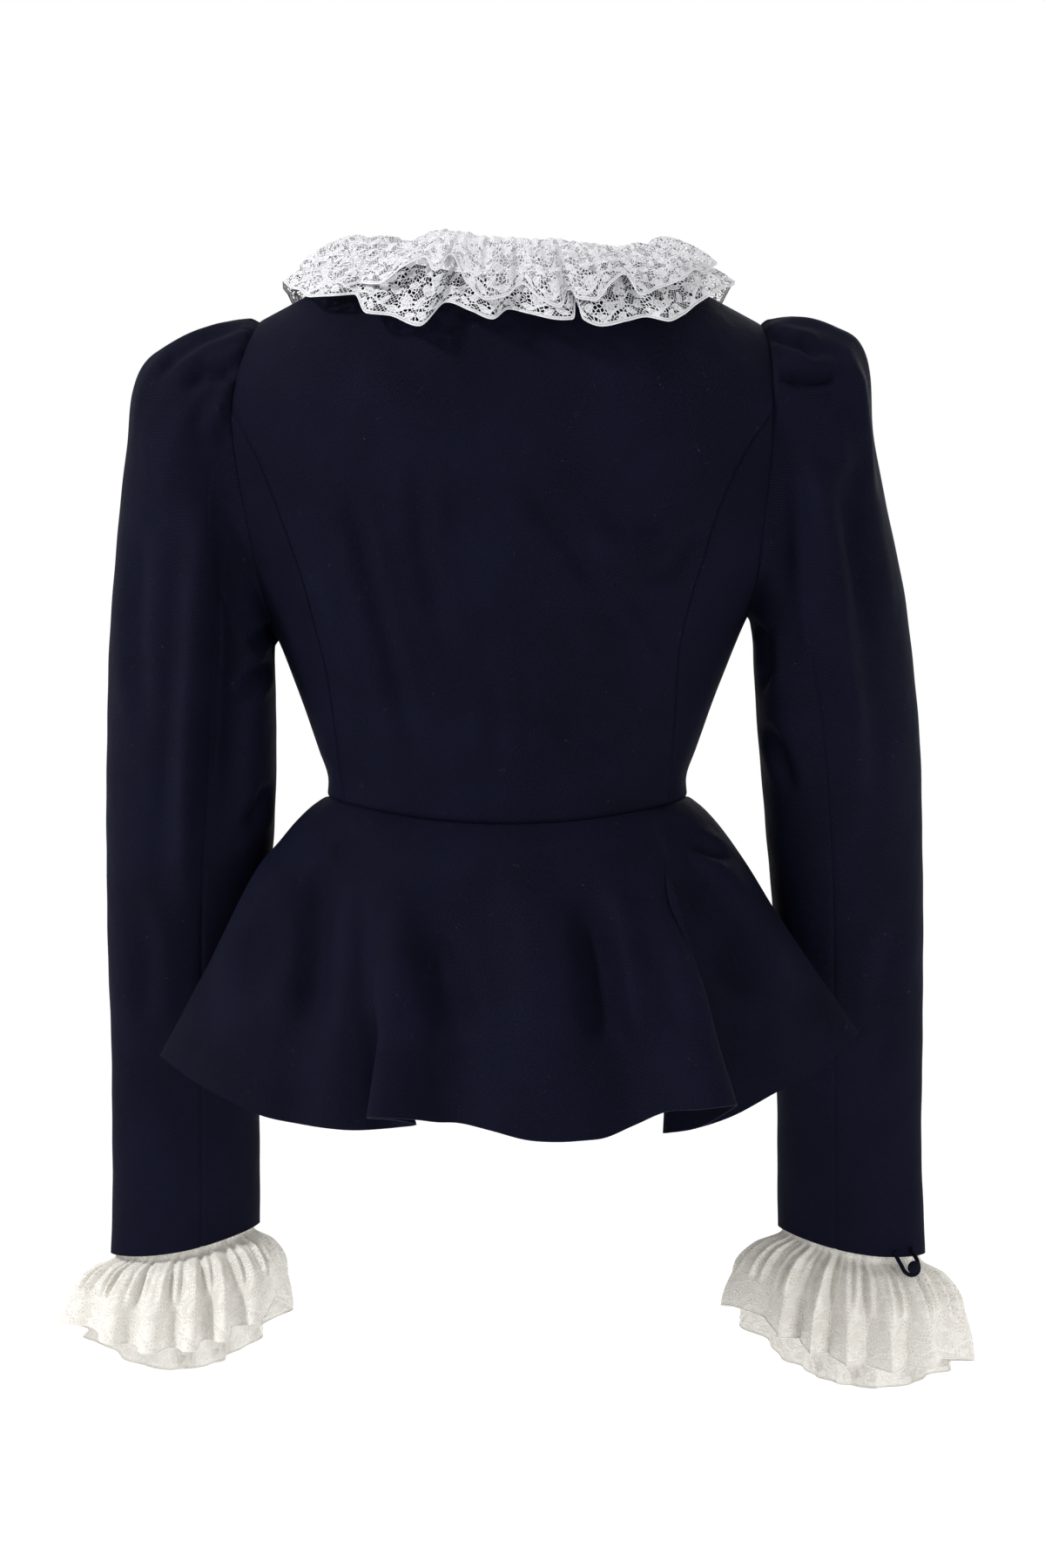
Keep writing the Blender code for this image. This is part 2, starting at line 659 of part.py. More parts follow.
def build_peplum():
    """Circular peplum in a back and two fronts."""
    half = SEAM_GAP / 2
    for name, start, end, count in (
        ("peplum_back", -PEPLUM_SEAM, PEPLUM_SEAM, PEPLUM_BACK_COLUMNS),
        ("peplum_front_left", PEPLUM_SEAM, 180.0, PEPLUM_FRONT_COLUMNS),
        ("peplum_front_right", -180.0, -PEPLUM_SEAM, PEPLUM_FRONT_COLUMNS),
    ):
        points = peplum_points(hem_columns(start, end, count))
        cloth(name, pull_in(points, (half, half, 0.0, 0.0)), CLOTH_WALL, NAVY, WOOL_ROUGHNESS)


def armhole_ring(side):
    """Armhole points moved off the body, with a position round the arm for each, degrees."""
    rows = place(side.armhole(), side.sign)
    points = body_point(rows[:, 0], rows[:, 1])
    fine = []
    count = len(points) - 1
    for index in range(count):
        cap = index < ARMHOLE_SPANS or index >= count - ARMHOLE_SPANS
        steps = 2 if cap else 1
        for step in range(steps):
            fine.append(points[index] + (points[index + 1] - points[index]) * step / steps)
    ring = np.array(fine)
    length = np.concatenate([[0.0], np.cumsum(np.linalg.norm(np.diff(ring, axis=0, append=ring[:1]), axis=1))])
    bottom = UNDERARM_INDEX
    angle = np.where(np.arange(len(ring)) <= bottom, 180.0 * length[:-1] / length[bottom],
                     180.0 + 180.0 * (length[:-1] - length[bottom]) / (length[-1] - length[bottom]))
    turn = np.radians(angle)
    gap = ARMHOLE_GAP_SIDE + (ARMHOLE_GAP_TOP - ARMHOLE_GAP_SIDE) * np.clip(np.cos(turn), 0, 1) ** 2
    gap = gap + (ARMHOLE_GAP_UNDERARM - ARMHOLE_GAP_SIDE) * np.clip(-np.cos(turn), 0, 1) ** 2
    ring[:, 0] += side.sign * gap
    return ring, angle


def gather_height(table, angle, share):
    """Height of the sleeve head's gathers at a position round the arm and a share down the sleeve."""
    height = np.zeros_like(angle)
    signed = (angle + 180.0) % 360.0 - 180.0
    for middle, end, rise in table:
        fade = max(0.0, 1.0 - share / end)
        begin = min(1.0, GATHER_START + share * GATHER_GROWTH)
        height += rise * fade * begin * np.exp(-((signed - middle) / GATHER_WIDTH) ** 2)
    return height


def sleeve_grid(side):
    """Grid of sleeve points, a row per ring and a column per position round the arm, mm."""
    table = SLEEVE_LEFT if side.sign > 0 else SLEEVE_RIGHT
    gathers = GATHERS_LEFT if side.sign > 0 else GATHERS_RIGHT
    ring, angle = armhole_ring(side)
    count = len(ring)
    index = np.arange(count)
    wanted = np.interp(index, [0, HINDARM_INDEX, FOREARM_INDEX, count],
                       [0.0, HINDARM_ANGLE, FOREARM_ANGLE, 360.0])
    top = ring[0]
    bottom = ring[UNDERARM_INDEX]
    rows = [ring]
    for number, (xo, zo, xi, zi, y, depth, round_share) in enumerate(table):
        blend = min(1.0, (number + 1) / 6.0)
        turn = np.radians(angle * (1 - blend) + wanted * blend)
        outer = np.array([side.sign * xo, y, zo])
        inner = np.array([side.sign * xi, y, zi])
        middle = (outer + inner) / 2
        oval = (middle[None] + np.cos(turn)[:, None] * (outer - inner)[None] / 2
                + np.sin(turn)[:, None] * np.array([0.0, depth, 0.0])[None])
        weight = ((1 + np.cos(np.radians(angle))) / 2)[:, None]
        moved = ring + weight * (outer - top)[None] + (1 - weight) * (inner - bottom)[None]
        points = moved * (1 - round_share) + oval * round_share
        if number == len(table) - 1:
            points[:, 2] -= CUFF_EDGE_DROP * np.sin(turn) ** 2
        rows.append(points)
    grid = np.array(rows)
    across = np.roll(grid, -1, axis=1) - np.roll(grid, 1, axis=1)
    along = np.gradient(grid, axis=0)
    out = np.cross(across, along) * side.sign
    out /= np.linalg.norm(out, axis=-1, keepdims=True)
    centre = grid.mean(axis=1, keepdims=True)
    out *= np.sign(((grid - centre) * out).sum(-1, keepdims=True))
    shares = np.linspace(0.0, 1.0, len(grid))
    for row, share in enumerate(shares):
        turn = angle * (1 - min(1.0, row / 6.0)) + wanted * min(1.0, row / 6.0)
        if row:
            grid[row] += out[row] * gather_height(gathers, turn, share)[:, None]
    return grid


def build_sleeves(left, right):
    """Top and under sleeve of both arms."""
    half = SEAM_GAP / 2
    cuffs = {}
    for side, label in ((left, "left"), (right, "right")):
        grid = sleeve_grid(side)
        count = grid.shape[1]
        top_columns = np.arange(FOREARM_INDEX, count + HINDARM_INDEX + 1) % count
        under_columns = np.arange(HINDARM_INDEX, FOREARM_INDEX + 1)
        points = pull_in(grid[:, top_columns], (half, half, 0.0, 0.0))
        cloth("top_sleeve_" + label, points, CLOTH_WALL, NAVY, WOOL_ROUGHNESS)
        points = pull_in(grid[:, under_columns], (half, half, 0.0, 0.0))
        cloth("under_sleeve_" + label, points, CLOTH_WALL, NAVY, WOOL_ROUGHNESS)
        cuffs[label] = grid
    return cuffs


def collar_path(share):
    """Neckline and fall line, angle and height, at shares from the right front round to the left."""
    sign = np.where(share < 0.5, -1.0, 1.0)
    halves = []
    for neck_table, fall_table, front in ((NECK_BACK, FALL_BACK, False), (NECK_FRONT, FALL_FRONT, True)):
        neck = spaced(path_by_distance(neck_table, 0.0, neck_table[-1][0], front), 60)
        fall = spaced(path_by_distance(fall_table, 0.0, fall_table[-1][0], front), 60)
        halves.append((neck, fall))
    along = np.abs(share - 0.5) * 2
    result = []
    for part in (0, 1):
        back = np.stack([np.interp(along / BACK_SHARE, np.linspace(0, 1, 61), halves[0][part][:, k])
                         for k in (0, 1)], axis=1)
        front = np.stack([np.interp((1 - along) / (1 - BACK_SHARE), np.linspace(0, 1, 61),
                                    halves[1][part][:, k]) for k in (0, 1)], axis=1)
        rows = np.where((along <= BACK_SHARE)[:, None], back, front)
        rows[:, 0] *= sign
        result.append(rows)
    return result


def build_collar():
    """Two tiers of lace gathered into the neckline, open at the centre front."""
    count = COLLAR_WAVES * COLLAR_STEPS
    share = np.linspace(0.006, 0.994, count + 1)
    neck, fall = collar_path(share)
    for name, table in (("collar_ruffle_lower", COLLAR_LOWER), ("collar_ruffle_upper", COLLAR_UPPER)):
        grid = []
        for fall_share, height, lift, shoulder_lift, wave in table:
            turn = neck[:, 0] + (fall[:, 0] - neck[:, 0]) * fall_share
            level = neck[:, 1] + (fall[:, 1] - neck[:, 1]) * fall_share
            base = body_point(turn, np.minimum(level, -0.001))
            out = body_normal(turn, np.minimum(level, -0.001))
            swing = np.sin(2 * math.pi * (share * COLLAR_WAVES + COLLAR_PHASE))
            from_shoulder = (2 * np.abs(share - 0.5) - BACK_SHARE) / SHOULDER_SPREAD
            raised = lift + shoulder_lift * np.exp(-from_shoulder ** 2)
            point = base + out * (height + wave * swing)[:, None]
            point[:, 2] += raised
            grid.append(point)
        cloth(name, np.array(grid), LACE_WALL, LACE_WHITE, LACE_ROUGHNESS)


def edge_height(numbers, turn):
    """Height round an edge from its outer, inner, back and front heights."""
    outer, inner, back, front = numbers
    middle = (outer + inner + back + front) / 4
    twist = (outer + inner - back - front) / 4
    return (middle + twist * np.cos(2 * turn) + (outer - inner) / 2 * np.cos(turn)
            + (back - front) / 2 * np.sin(turn))


def cuff_ruffle(side, cuff, numbers, waves):
    """Grid of one cuff ruffle."""
    count = waves * CUFF_STEPS
    turn = np.linspace(0.0, 2 * math.pi, count, endpoint=False)
    middle_x, middle_y, half_width, half_depth = numbers[:4]
    last = cuff[-1]
    before = cuff[-2]
    outer = last[0]
    inner = last[UNDERARM_INDEX]
    centre = (outer + inner) / 2
    table = SLEEVE_LEFT if side.sign > 0 else SLEEVE_RIGHT
    depth = table[-1][5]
    slope = before.mean(axis=0) - last.mean(axis=0)
    slope /= np.linalg.norm(slope)
    swing = np.sin(waves * turn)

    def ring(radius_x, radius_y, mid, z):
        x = mid[0] + side.sign * radius_x * np.cos(turn)
        y = mid[1] + radius_y * np.sin(turn)
        return np.stack([x, y, z], axis=1)

    half = abs(outer[0] - inner[0]) / 2
    hem_z = (centre[2] + (outer[2] - inner[2]) / 2 * np.cos(turn) - CUFF_EDGE_DROP * np.sin(turn) ** 2)
    rows = []
    tuck = ring(half - CUFF_CLEAR, depth - CUFF_CLEAR, centre, hem_z) + slope[None] * CUFF_TUCK
    normal = np.stack([side.sign * np.cos(turn) / half, np.sin(turn) / depth, 0 * turn], axis=1)
    normal /= np.linalg.norm(normal, axis=1, keepdims=True)
    rows.append(tuck + normal * (CUFF_PROFILE[0][2] * swing)[:, None])
    edge_z = edge_height(numbers[4:], turn)
    low_centre = np.array([side.sign * middle_x, middle_y, 0.0])
    for drop, spread, wave in CUFF_PROFILE:
        mid = centre + (low_centre - centre) * drop
        radius_x = (half - CUFF_CLEAR) + (half_width - half + CUFF_CLEAR) * spread
        radius_y = (depth - CUFF_CLEAR) + (half_depth - depth + CUFF_CLEAR) * spread
        z = hem_z + (edge_z - hem_z) * drop
        rows.append(ring(radius_x, radius_y, mid, z) + normal * (wave * swing)[:, None])
    return np.array(rows)


def build_cuffs(left, right, cuffs):
    """Lace ruffle inside the end of each sleeve."""
    for side, label, numbers, waves in (
        (left, "left", CUFF_EDGE_LEFT, CUFF_WAVES_LEFT),
        (right, "right", CUFF_EDGE_RIGHT, CUFF_WAVES_RIGHT),
    ):
        grid = cuff_ruffle(side, cuffs[label], numbers, waves)
        cloth("cuff_ruffle_" + label, grid, LACE_WALL, LACE_CREAM, LACE_ROUGHNESS, closed=True)


def button(name, spot, out, radius, rise, shank):
    """Covered button: a shank and a dome turned about its own axis, set on a spot."""
    profile = (
        (0.0, 0.0), (shank, 0.0), (shank, rise * 0.38), (radius * 0.94, rise * 0.42),
        (radius, rise * 0.6), (radius * 0.62, rise * 0.92), (0.0, rise),
    )
    segments = 10
    shape = bmesh.new()
    rings = []
    for distance, height in profile:
        if distance == 0.0:
            rings.append([shape.verts.new((0.0, 0.0, height * MM))])
            continue
        rings.append([shape.verts.new((distance * MM * math.cos(2 * math.pi * k / segments),
                                       distance * MM * math.sin(2 * math.pi * k / segments),
                                       height * MM)) for k in range(segments)])
    for low, high in zip(rings[:-1], rings[1:]):
        for k in range(segments):
            after = (k + 1) % segments
            if len(low) == 1:
                shape.faces.new((low[0], high[after], high[k]))
            elif len(high) == 1:
                shape.faces.new((low[k], low[after], high[0]))
            else:
                shape.faces.new((low[k], low[after], high[after], high[k]))
    bmesh.ops.recalc_face_normals(shape, faces=shape.faces)
    mesh = bpy.data.meshes.new(name)
    turn = Vector(out).to_track_quat("Z", "Y").to_matrix().to_4x4()
    shape.transform(Matrix.Translation(Vector(spot) * MM) @ turn)
    shape.to_mesh(mesh)
    shape.free()
    for face in mesh.polygons:
        face.use_smooth = True
    mesh.materials.append(material(name, NAVY, WOOL_ROUGHNESS))
    made = bpy.data.objects.new(name, mesh)
    COLLECTION.objects.link(made)
    return made


def cord(name, points, diameter):
    """Rouleau cord through points, mm."""
    curve = bpy.data.curves.new(name, "CURVE")
    curve.dimensions = "3D"
    curve.bevel_depth = diameter / 2 * MM
    curve.bevel_resolution = 1
    curve.use_fill_caps = True
    line = curve.splines.new("POLY")
    line.points.add(len(points) - 1)
    for slot, point in zip(line.points, points):
        slot.co = (point[0] * MM, point[1] * MM, point[2] * MM, 1.0)
    holder = bpy.data.objects.new(name + "_line", curve)
    COLLECTION.objects.link(holder)
    graph = bpy.context.evaluated_depsgraph_get()
    mesh = bpy.data.meshes.new_from_object(holder.evaluated_get(graph))
    bpy.data.objects.remove(holder, do_unlink=True)
    shape = bmesh.new()
    shape.from_mesh(mesh)
    bmesh.ops.remove_doubles(shape, verts=shape.verts, dist=0.00001)
    bmesh.ops.recalc_face_normals(shape, faces=shape.faces)
    shape.to_mesh(mesh)
    shape.free()
    mesh.materials.clear()
    mesh.materials.append(material(name, NAVY, WOOL_ROUGHNESS))
    for face in mesh.polygons:
        face.use_smooth = True
    made = bpy.data.objects.new(name, mesh)
    COLLECTION.objects.link(made)
    return made


def build_front_closing():
    """Covered buttons on the left front and rouleau loops from the right front's edge."""
    lift = CLOTH_WALL / 2 + FASTENING_GAP
    for number, level in enumerate(BUTTON_HEIGHTS, start=1):
        turn = turn_at(BUTTON_OFFSET, level, True)
        spot = body_point(turn, level)
        out = body_normal(turn, level)
        button("front_button_%d" % number, spot + out * lift, out, BUTTON_RADIUS, BUTTON_RISE, SHANK_RADIUS)
        reach = SHANK_RADIUS + LOOP_CORD / 2 + 0.4
        line = [(-6.0, reach), (2.0, reach), (BUTTON_OFFSET, reach)]
        line += [(BUTTON_OFFSET + reach * math.sin(a), reach * math.cos(a))
                 for a in np.radians([45.0, 90.0, 135.0])]
        line += [(x, -z) for x, z in reversed(line[:3])]
        points = []
        for x, dz in line:
            at = math.pi - math.asin(x / float(half_width_at(level + dz)))
            points.append(body_point(at, level + dz) + body_normal(at, level + dz) * (lift + LOOP_CORD / 2))
        cord("front_loop_%d" % number, points, LOOP_CORD)


def build_cuff_closing(cuffs):
    """Small covered button and its loop, hanging from the outer edge of the right cuff."""
    last = cuffs["right"][-1]
    before = cuffs["right"][-2]
    down = last[CUFF_BUTTON_INDEX] - before[CUFF_BUTTON_INDEX]
    down /= np.linalg.norm(down)
    across = last[CUFF_BUTTON_INDEX + 1] - last[CUFF_BUTTON_INDEX - 1]
    across -= across.dot(down) * down
    across /= np.linalg.norm(across)
    out = np.cross(across, down)
    out *= np.sign(out.dot(last[CUFF_BUTTON_INDEX] - last[UNDERARM_INDEX]))
    spot = last[CUFF_BUTTON_INDEX] + down * 4.6 + out * 11.0
    button("cuff_button", spot, out, CUFF_BUTTON_RADIUS, 5.6, 1.6)
    edge = last[CUFF_BUTTON_INDEX] + out * (CLOTH_WALL / 2 + SEAM_GAP + LOOP_CORD / 2)
    ring = [(-7.2, -6.0, -0.3), (-7.0, -3.0, 0.3), (-7.0, 2.0, 6.0), (-5.9, 7.6, 9.6), (-2.6, 10.7, 11.6),
            (2.6, 10.7, 11.6), (5.9, 7.6, 9.6), (7.0, 2.0, 6.0), (7.0, -3.0, 0.3), (7.2, -6.0, -0.3)]
    cord("cuff_loop", [edge + across * a + down * d + out * o for a, d, o in ring], LOOP_CORD)


for leftover in list(bpy.data.objects):
    bpy.data.objects.remove(leftover, do_unlink=True)
COLLECTION = bpy.data.collections.new("peplum_jacket")
bpy.context.scene.collection.children.link(COLLECTION)

LEFT = Side(1.0)
RIGHT = Side(-1.0)
build_bodice(LEFT, RIGHT)
build_peplum()
CUFFS = build_sleeves(LEFT, RIGHT)
build_collar()
build_cuffs(LEFT, RIGHT, CUFFS)
build_front_closing()
build_cuff_closing(CUFFS)
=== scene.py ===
"""Looks of a fitted navy peplum jacket with gathered sleeve heads and white lace ruffles.

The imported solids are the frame. Each cloth piece is a finer shell on its solid's form, with the jacket's
folds, gathers and creases laid in. The wearer faces -Y, the wearer's left is +X and up is +Z.
Tables are in millimetres and degrees; meshes are in metres.
"""

import logging
import math
from collections.abc import Callable
from dataclasses import dataclass
from enum import Enum

import bpy
import numpy as np
from mathutils import Matrix, Vector


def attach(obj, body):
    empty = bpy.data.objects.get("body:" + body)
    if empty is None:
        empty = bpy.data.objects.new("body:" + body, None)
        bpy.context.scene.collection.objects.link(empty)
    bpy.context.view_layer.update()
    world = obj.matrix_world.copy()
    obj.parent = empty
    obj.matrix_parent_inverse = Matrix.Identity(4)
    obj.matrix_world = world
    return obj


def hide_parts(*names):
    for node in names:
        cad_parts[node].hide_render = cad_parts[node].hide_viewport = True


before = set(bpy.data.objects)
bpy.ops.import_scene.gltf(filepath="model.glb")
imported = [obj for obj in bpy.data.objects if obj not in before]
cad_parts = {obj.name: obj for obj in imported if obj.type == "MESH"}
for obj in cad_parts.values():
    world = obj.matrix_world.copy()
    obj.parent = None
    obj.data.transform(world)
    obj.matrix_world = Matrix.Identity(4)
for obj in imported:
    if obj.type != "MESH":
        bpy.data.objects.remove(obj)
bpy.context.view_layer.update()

Array = np.ndarray
Object = bpy.types.Object
Material = bpy.types.Material

MM = 0.001
TURN = 2 * math.pi
LOG = logging.getLogger("peplum_jacket")

# Edges sharper than this stay sharp, degrees
SMOOTH_ANGLE = 60.0
BUTTON_SMOOTH_ANGLE = 40.0

# Thickness of the navy cloth and how deep a seam sinks into it, mm
CLOTH_WALL = 1.5
SEAM_DEPTH = 1.3
SEAM_WIDTH = 1.5
# Rows of points laid close to a seam, and the least distance kept between rows, mm
SEAM_ROWS = (0.5, 1.0, 1.6, 2.4, 3.6)
ROW_GAP = 0.3
# Just under the shoulder, where the body's own height scale ends
BELOW_SHOULDER = -0.001
# Long waves of pressed cloth: height, turns for each mm of x, y and z, and start
CLOTH_WAVES = (
    (1.0, 0.061, 0.0, 0.023, 1.3),
    (1.0, -0.019, 0.031, 0.047, 0.0),
    (0.7, 0.117, 0.083, -0.059, 4.1),
    (0.5, 0.0, 0.097, 0.139, 2.2),
)
# A crease runs out over this share of its length and fades as the cloth turns to the side. A low bank
# lies beside it: its height, distance and width are shares of the crease's own depth and width
CREASE_RUNOUT = 0.3
SIDE_FADE = 3.0
BANK_HEIGHT = 0.3
BANK_PLACE = 1.9
BANK_WIDTH = 0.9

# Heights of the body, mm
WAIST = -362.4
SHELF = -100.0
UNDERARM_LEFT = -252.0
UNDERARM_RIGHT = -236.0
WAIST_DIP_BACK = -16.0
WAIST_DIP_FRONT = -4.0
DIP_FADE = 72.0
SECTION_POWER = 0.88

# Body sections: height, half width, depth to the back, depth to the front
BODY_SECTIONS = (
    (-362.4, 123.3, 72, 98),
    (-350, 122.6, 73, 99),
    (-330, 128.7, 75, 101),
    (-306, 137.1, 79, 106),
    (-282, 146.1, 84, 113),
    (-258, 155.8, 90, 121),
    (-236, 165.5, 95, 126),
    (-205, 184, 100, 128),
    (-174, 200, 102.5, 124),
    (-140, 208, 104, 116),
    (-100, 210, 104, 110),
    (-50, 206, 104, 108),
    (0, 200, 104, 108),
)

# Shoulder line: distance from the middle, height
SHOULDER_LINE = (
    (0, 27),
    (50, 20),
    (100, 0),
    (135, -19),
    (170, -37.8),
    (210, -60),
)

# Armhole edges: height in the body's own scale, distance from the middle
ARMHOLE_BACK_LEFT = (
    (-250, 160), (-228, 165.5), (-174, 175.8), (-120, 184.8), (-98, 186.6),
    (-75, 183), (-50, 178), (-25, 172.5), (0, 169.5),
)
ARMHOLE_BACK_RIGHT = (
    (-234, 166.2), (-210, 170), (-186, 172), (-138, 177), (-100, 179),
    (-75, 178.5), (-50, 178), (-25, 175.5), (0, 173.5),
)
ARMHOLE_FRONT_LEFT = (
    (-250, 159.8), (-228, 162), (-190, 160), (-150, 160), (-110, 165),
    (-75, 168), (-50, 169.5), (-25, 169.5), (0, 169.5),
)
ARMHOLE_FRONT_RIGHT = (
    (-234, 165.5), (-210, 163), (-190, 161), (-150, 161), (-110, 167),
    (-75, 171), (-50, 173), (-25, 173.5), (0, 173.5),
)

# Princess seams from the waist up to the armhole: height, distance from the middle
PRINCESS_BACK_LEFT = (
    (-362.4, 110.8), (-322, 115.8), (-272, 123.8), (-244, 130.6),
    (-205, 140.9), (-174, 151.6), (-136, 166.5),
)
PRINCESS_BACK_RIGHT = (
    (-362.4, 110), (-312, 113.1), (-252, 117.5), (-200, 131), (-149, 149), (-122, 163.5),
)
PRINCESS_FRONT = (
    (-362.4, 66), (-322, 70), (-272, 80), (-225, 92),
    (-190, 106), (-160, 128), (-145, 145),
)
PRINCESS_TOP_BACK = -100.0
PRINCESS_TOP_FRONT = -128.0

# Neckline: distance from the middle, height in the body's own scale
NECK_BACK = ((0, -50), (30, -47.5), (60, -37), (85, -18), (100, 0))
NECK_FRONT = (
    (0, -100), (25, -96), (50, -84), (72, -62),
    (88, -35), (96, -15), (100, 0),
)
NECK_POINT = 100.0

# Spans of the panels' edges, which keep the shells on the solids' own grids
PRINCESS_SPANS = 7
ARMHOLE_SPANS = 6
SIDE_TOP_SPANS = 6
BACK_COLUMNS = 14
FRONT_COLUMNS = 6
FRONT_EDGE_SPANS = 7
SHOULDER_COLUMNS = 3
PATH_STEPS = 400
# Rough sizes of the panels, for the rows laid close to their seams, mm
BACK_WIDTH = 240.0
SIDE_WIDTH = 60.0
BODICE_HEIGHT = 300.0
# The waviness starts this far from the upper edge of a panel and from the waist of the peplum, mm
PANEL_QUIET = 20.0
PEPLUM_QUIET = 30.0

# Peplum hem: angle round the waist, x, y, z, sharpness of the flute on its way down
HEM = (
    (-180, -0.3, -186, -544, 1.5), (-172, -30, -177, -544, 1.5),
    (-165, -58, -172, -543, 1.5), (-157, -88, -170, -541, 1.5),
    (-150, -104, -148, -540, 1.5), (-143, -124, -138, -539, 1.5),
    (-135, -152, -134, -538, 1.5), (-127, -168, -104, -537, 1.5),
    (-119, -168, -68, -536, 1.5), (-111, -176, -32, -533, 1.5),
    (-104, -196, -12, -530, 1.4), (-99, -214, -10, -528, 1.3),
    (-94.5, -233, -7, -526, 1.4), (-91, -241.3, 5, -525, 1.4),
    (-88, -234, 20, -530, 1.35), (-84, -214.4, 42, -545.5, 1.1),
    (-75, -181, 73, -559, 1.1), (-67, -148, 92, -574, 1.2),
    (-61, -122, 100, -581, 1.2), (-56.5, -104, 111, -582, 1.2),
    (-52.5, -127, 128, -576, 1.2), (-48.5, -149, 150, -560, 1.2),
    (-44, -143, 165, -558, 1.2), (-38, -124, 166, -560, 1.3),
    (-32, -104, 156, -562.5, 1.4), (-26, -84, 148, -572, 1.5),
    (-20, -66, 156, -579, 1.6), (-13, -49, 167, -580, 1.6),
    (-7, -32, 171, -580.3, 1.6), (-1, -13, 169, -579.4, 1.7),
    (6, 11, 159, -574.4, 1.8), (13, 31, 147, -571, 2),
    (20, 46, 150, -570, 2.1), (26, 59, 162, -567, 2.2),
    (32, 74, 170, -565.2, 2.2), (37, 88, 168, -564.8, 2.2),
    (41, 90, 154, -567, 2.2), (45, 74, 142, -569.5, 2.2),
    (49, 60, 131, -574, 2.2), (53, 73, 121, -577, 2.1),
    (58, 97, 123, -578.5, 2), (64, 118, 118, -578, 1.8),
    (70, 139, 100, -577, 1.6), (76, 166, 91, -572, 1.4),
    (81, 190, 74, -563, 1.3), (85, 213, 48, -554, 1),
    (88, 231, 22, -545, 0.85), (91, 238.9, 5, -541.2, 0.85),
    (94.5, 232, -8, -541.5, 0.9), (99, 212, -13, -543, 1.3),
    (104, 187, -15, -544, 1.4), (111, 165, -34, -545, 1.5),
    (119, 156, -70, -545, 1.5), (127, 160, -104, -544, 1.5),
    (135, 148, -134, -543, 1.5), (143, 122, -138, -543, 1.5),
    (150, 101, -149, -543, 1.5), (157, 86, -170, -543, 1.5),
    (165, 58, -172, -544, 1.5), (172, 30, -177, -545, 1.5),
    (180, 0.3, -186, -545, 1.5),
)
HEM_SMOOTHING = 13.0
PEPLUM_MIDDLE = (0.0, 0.0, -450.0)
PEPLUM_LENGTH = 210.0
PEPLUM_ROWS = 52
PEPLUM_BACK_COLUMNS = 248
PEPLUM_FRONT_COLUMNS = 88

# Flare of the peplum: share of the drop, share of the way out
FLARE = ((0, 0), (0.03, 0.085), (0.09, 0.2), (0.156, 0.29), (0.24, 0.38), (0.5, 0.6), (1, 1))
PEPLUM_SEAM = 101.0

# Sleeves: outer x, outer z, inner x, inner z, y of the middle, half depth, share of the round form
SLEEVE_LEFT = (
    (187, -38.3, 160.6, -256, 0, 54, 0.1),
    (207.4, -43.6, 161, -262, 0, 57, 0.35),
    (228.9, -52.6, 161, -270, 0, 60, 0.65),
    (247, -64, 161, -279, -1, 62, 0.9),
    (256.5, -84, 160.6, -291, -2, 63, 1),
    (260.5, -121, 160.6, -305, -3, 62, 1),
    (266, -165, 160.4, -322, -6, 60, 1),
    (272.5, -228, 160.6, -347, -13, 57, 1),
    (277.6, -300, 163.6, -389, -27, 52, 1),
    (280.6, -390, 169.6, -436, -47, 46, 1),
    (281.5, -490, 174.4, -505, -70, 39, 1),
    (281.9, -590, 178.1, -585, -93, 34.5, 1),
    (284.9, -694.6, 179, -673.2, -112, 32, 1),
)
SLEEVE_RIGHT = (
    (188.5, -36.2, 167, -242, 0, 53, 0.1),
    (205.5, -36, 168.2, -250, 0, 56, 0.35),
    (223.4, -41.2, 169.3, -260, 0, 59, 0.65),
    (239.5, -50, 170, -271, -1, 62, 0.9),
    (248, -72, 171, -284, -2, 63, 1),
    (250.5, -112, 172.2, -300, -3, 62, 1),
    (260.5, -166, 173.8, -320, -6, 60, 1),
    (274.2, -228, 176.2, -347, -13, 57, 1),
    (283.6, -300, 180.4, -389, -27, 52, 1),
    (289.6, -390, 185.5, -436, -47, 46, 1),
    (293, -490, 189.3, -505, -70, 39, 1),
    (294, -590, 192.8, -585, -93, 34.5, 1),
    (299, -694.6, 194.2, -675.5, -112, 32, 1),
)
HINDARM_ANGLE = 105.0
FOREARM_ANGLE = 250.0
HINDARM_INDEX = 13
UNDERARM_INDEX = 18
FOREARM_INDEX = 22
RING_COUNT = 36
CUFF_EDGE_DROP = 5.6
# Rings over which the armhole's form gives way to the arm's
HEAD_RINGS = 6.0
# Rings over which the waviness and the creases start
SLEEVE_QUIET = 1.5
SLEEVE_CREASE_START = 0.6
# Extra columns close to a sleeve seam, in places round the arm, and rows close to the armhole, in rings
SLEEVE_SEAM_COLUMNS = (0.05, 0.1, 0.16, 0.25, 0.4)
HEAD_ROWS = (0.05, 0.1, 0.18, 0.28)
HEAD_ROW_COUNT = 14
# Roll of the sleeve head at its seam: height, mm, and where it rises and fades, in rings
HEAD_ROLL = 0.9
ROLL_RISE = 0.12
ROLL_FADE = 0.8

# Gathers of the sleeve head: place round the armhole, share of the sleeve where it ends, height
GATHERS_LEFT = (
    (-62, 0.42, 2.4), (-44, 0.5, 3), (-27, 0.36, 3.2), (-9, 0.46, 2.8),
    (10, 0.38, 3.2), (27, 0.52, 3), (45, 0.4, 3.6), (64, 0.55, 2.6),
)
GATHERS_RIGHT = (
    (-60, 0.45, 2.6), (-41, 0.4, 3), (-23, 0.5, 2.8), (-7, 0.35, 3.4),
    (12, 0.44, 3.6), (30, 0.34, 3), (48, 0.5, 3.2), (66, 0.42, 2.4),
)
GATHER_WIDTH = 7.0
GATHER_START = 0.35
GATHER_GROWTH = 6.0
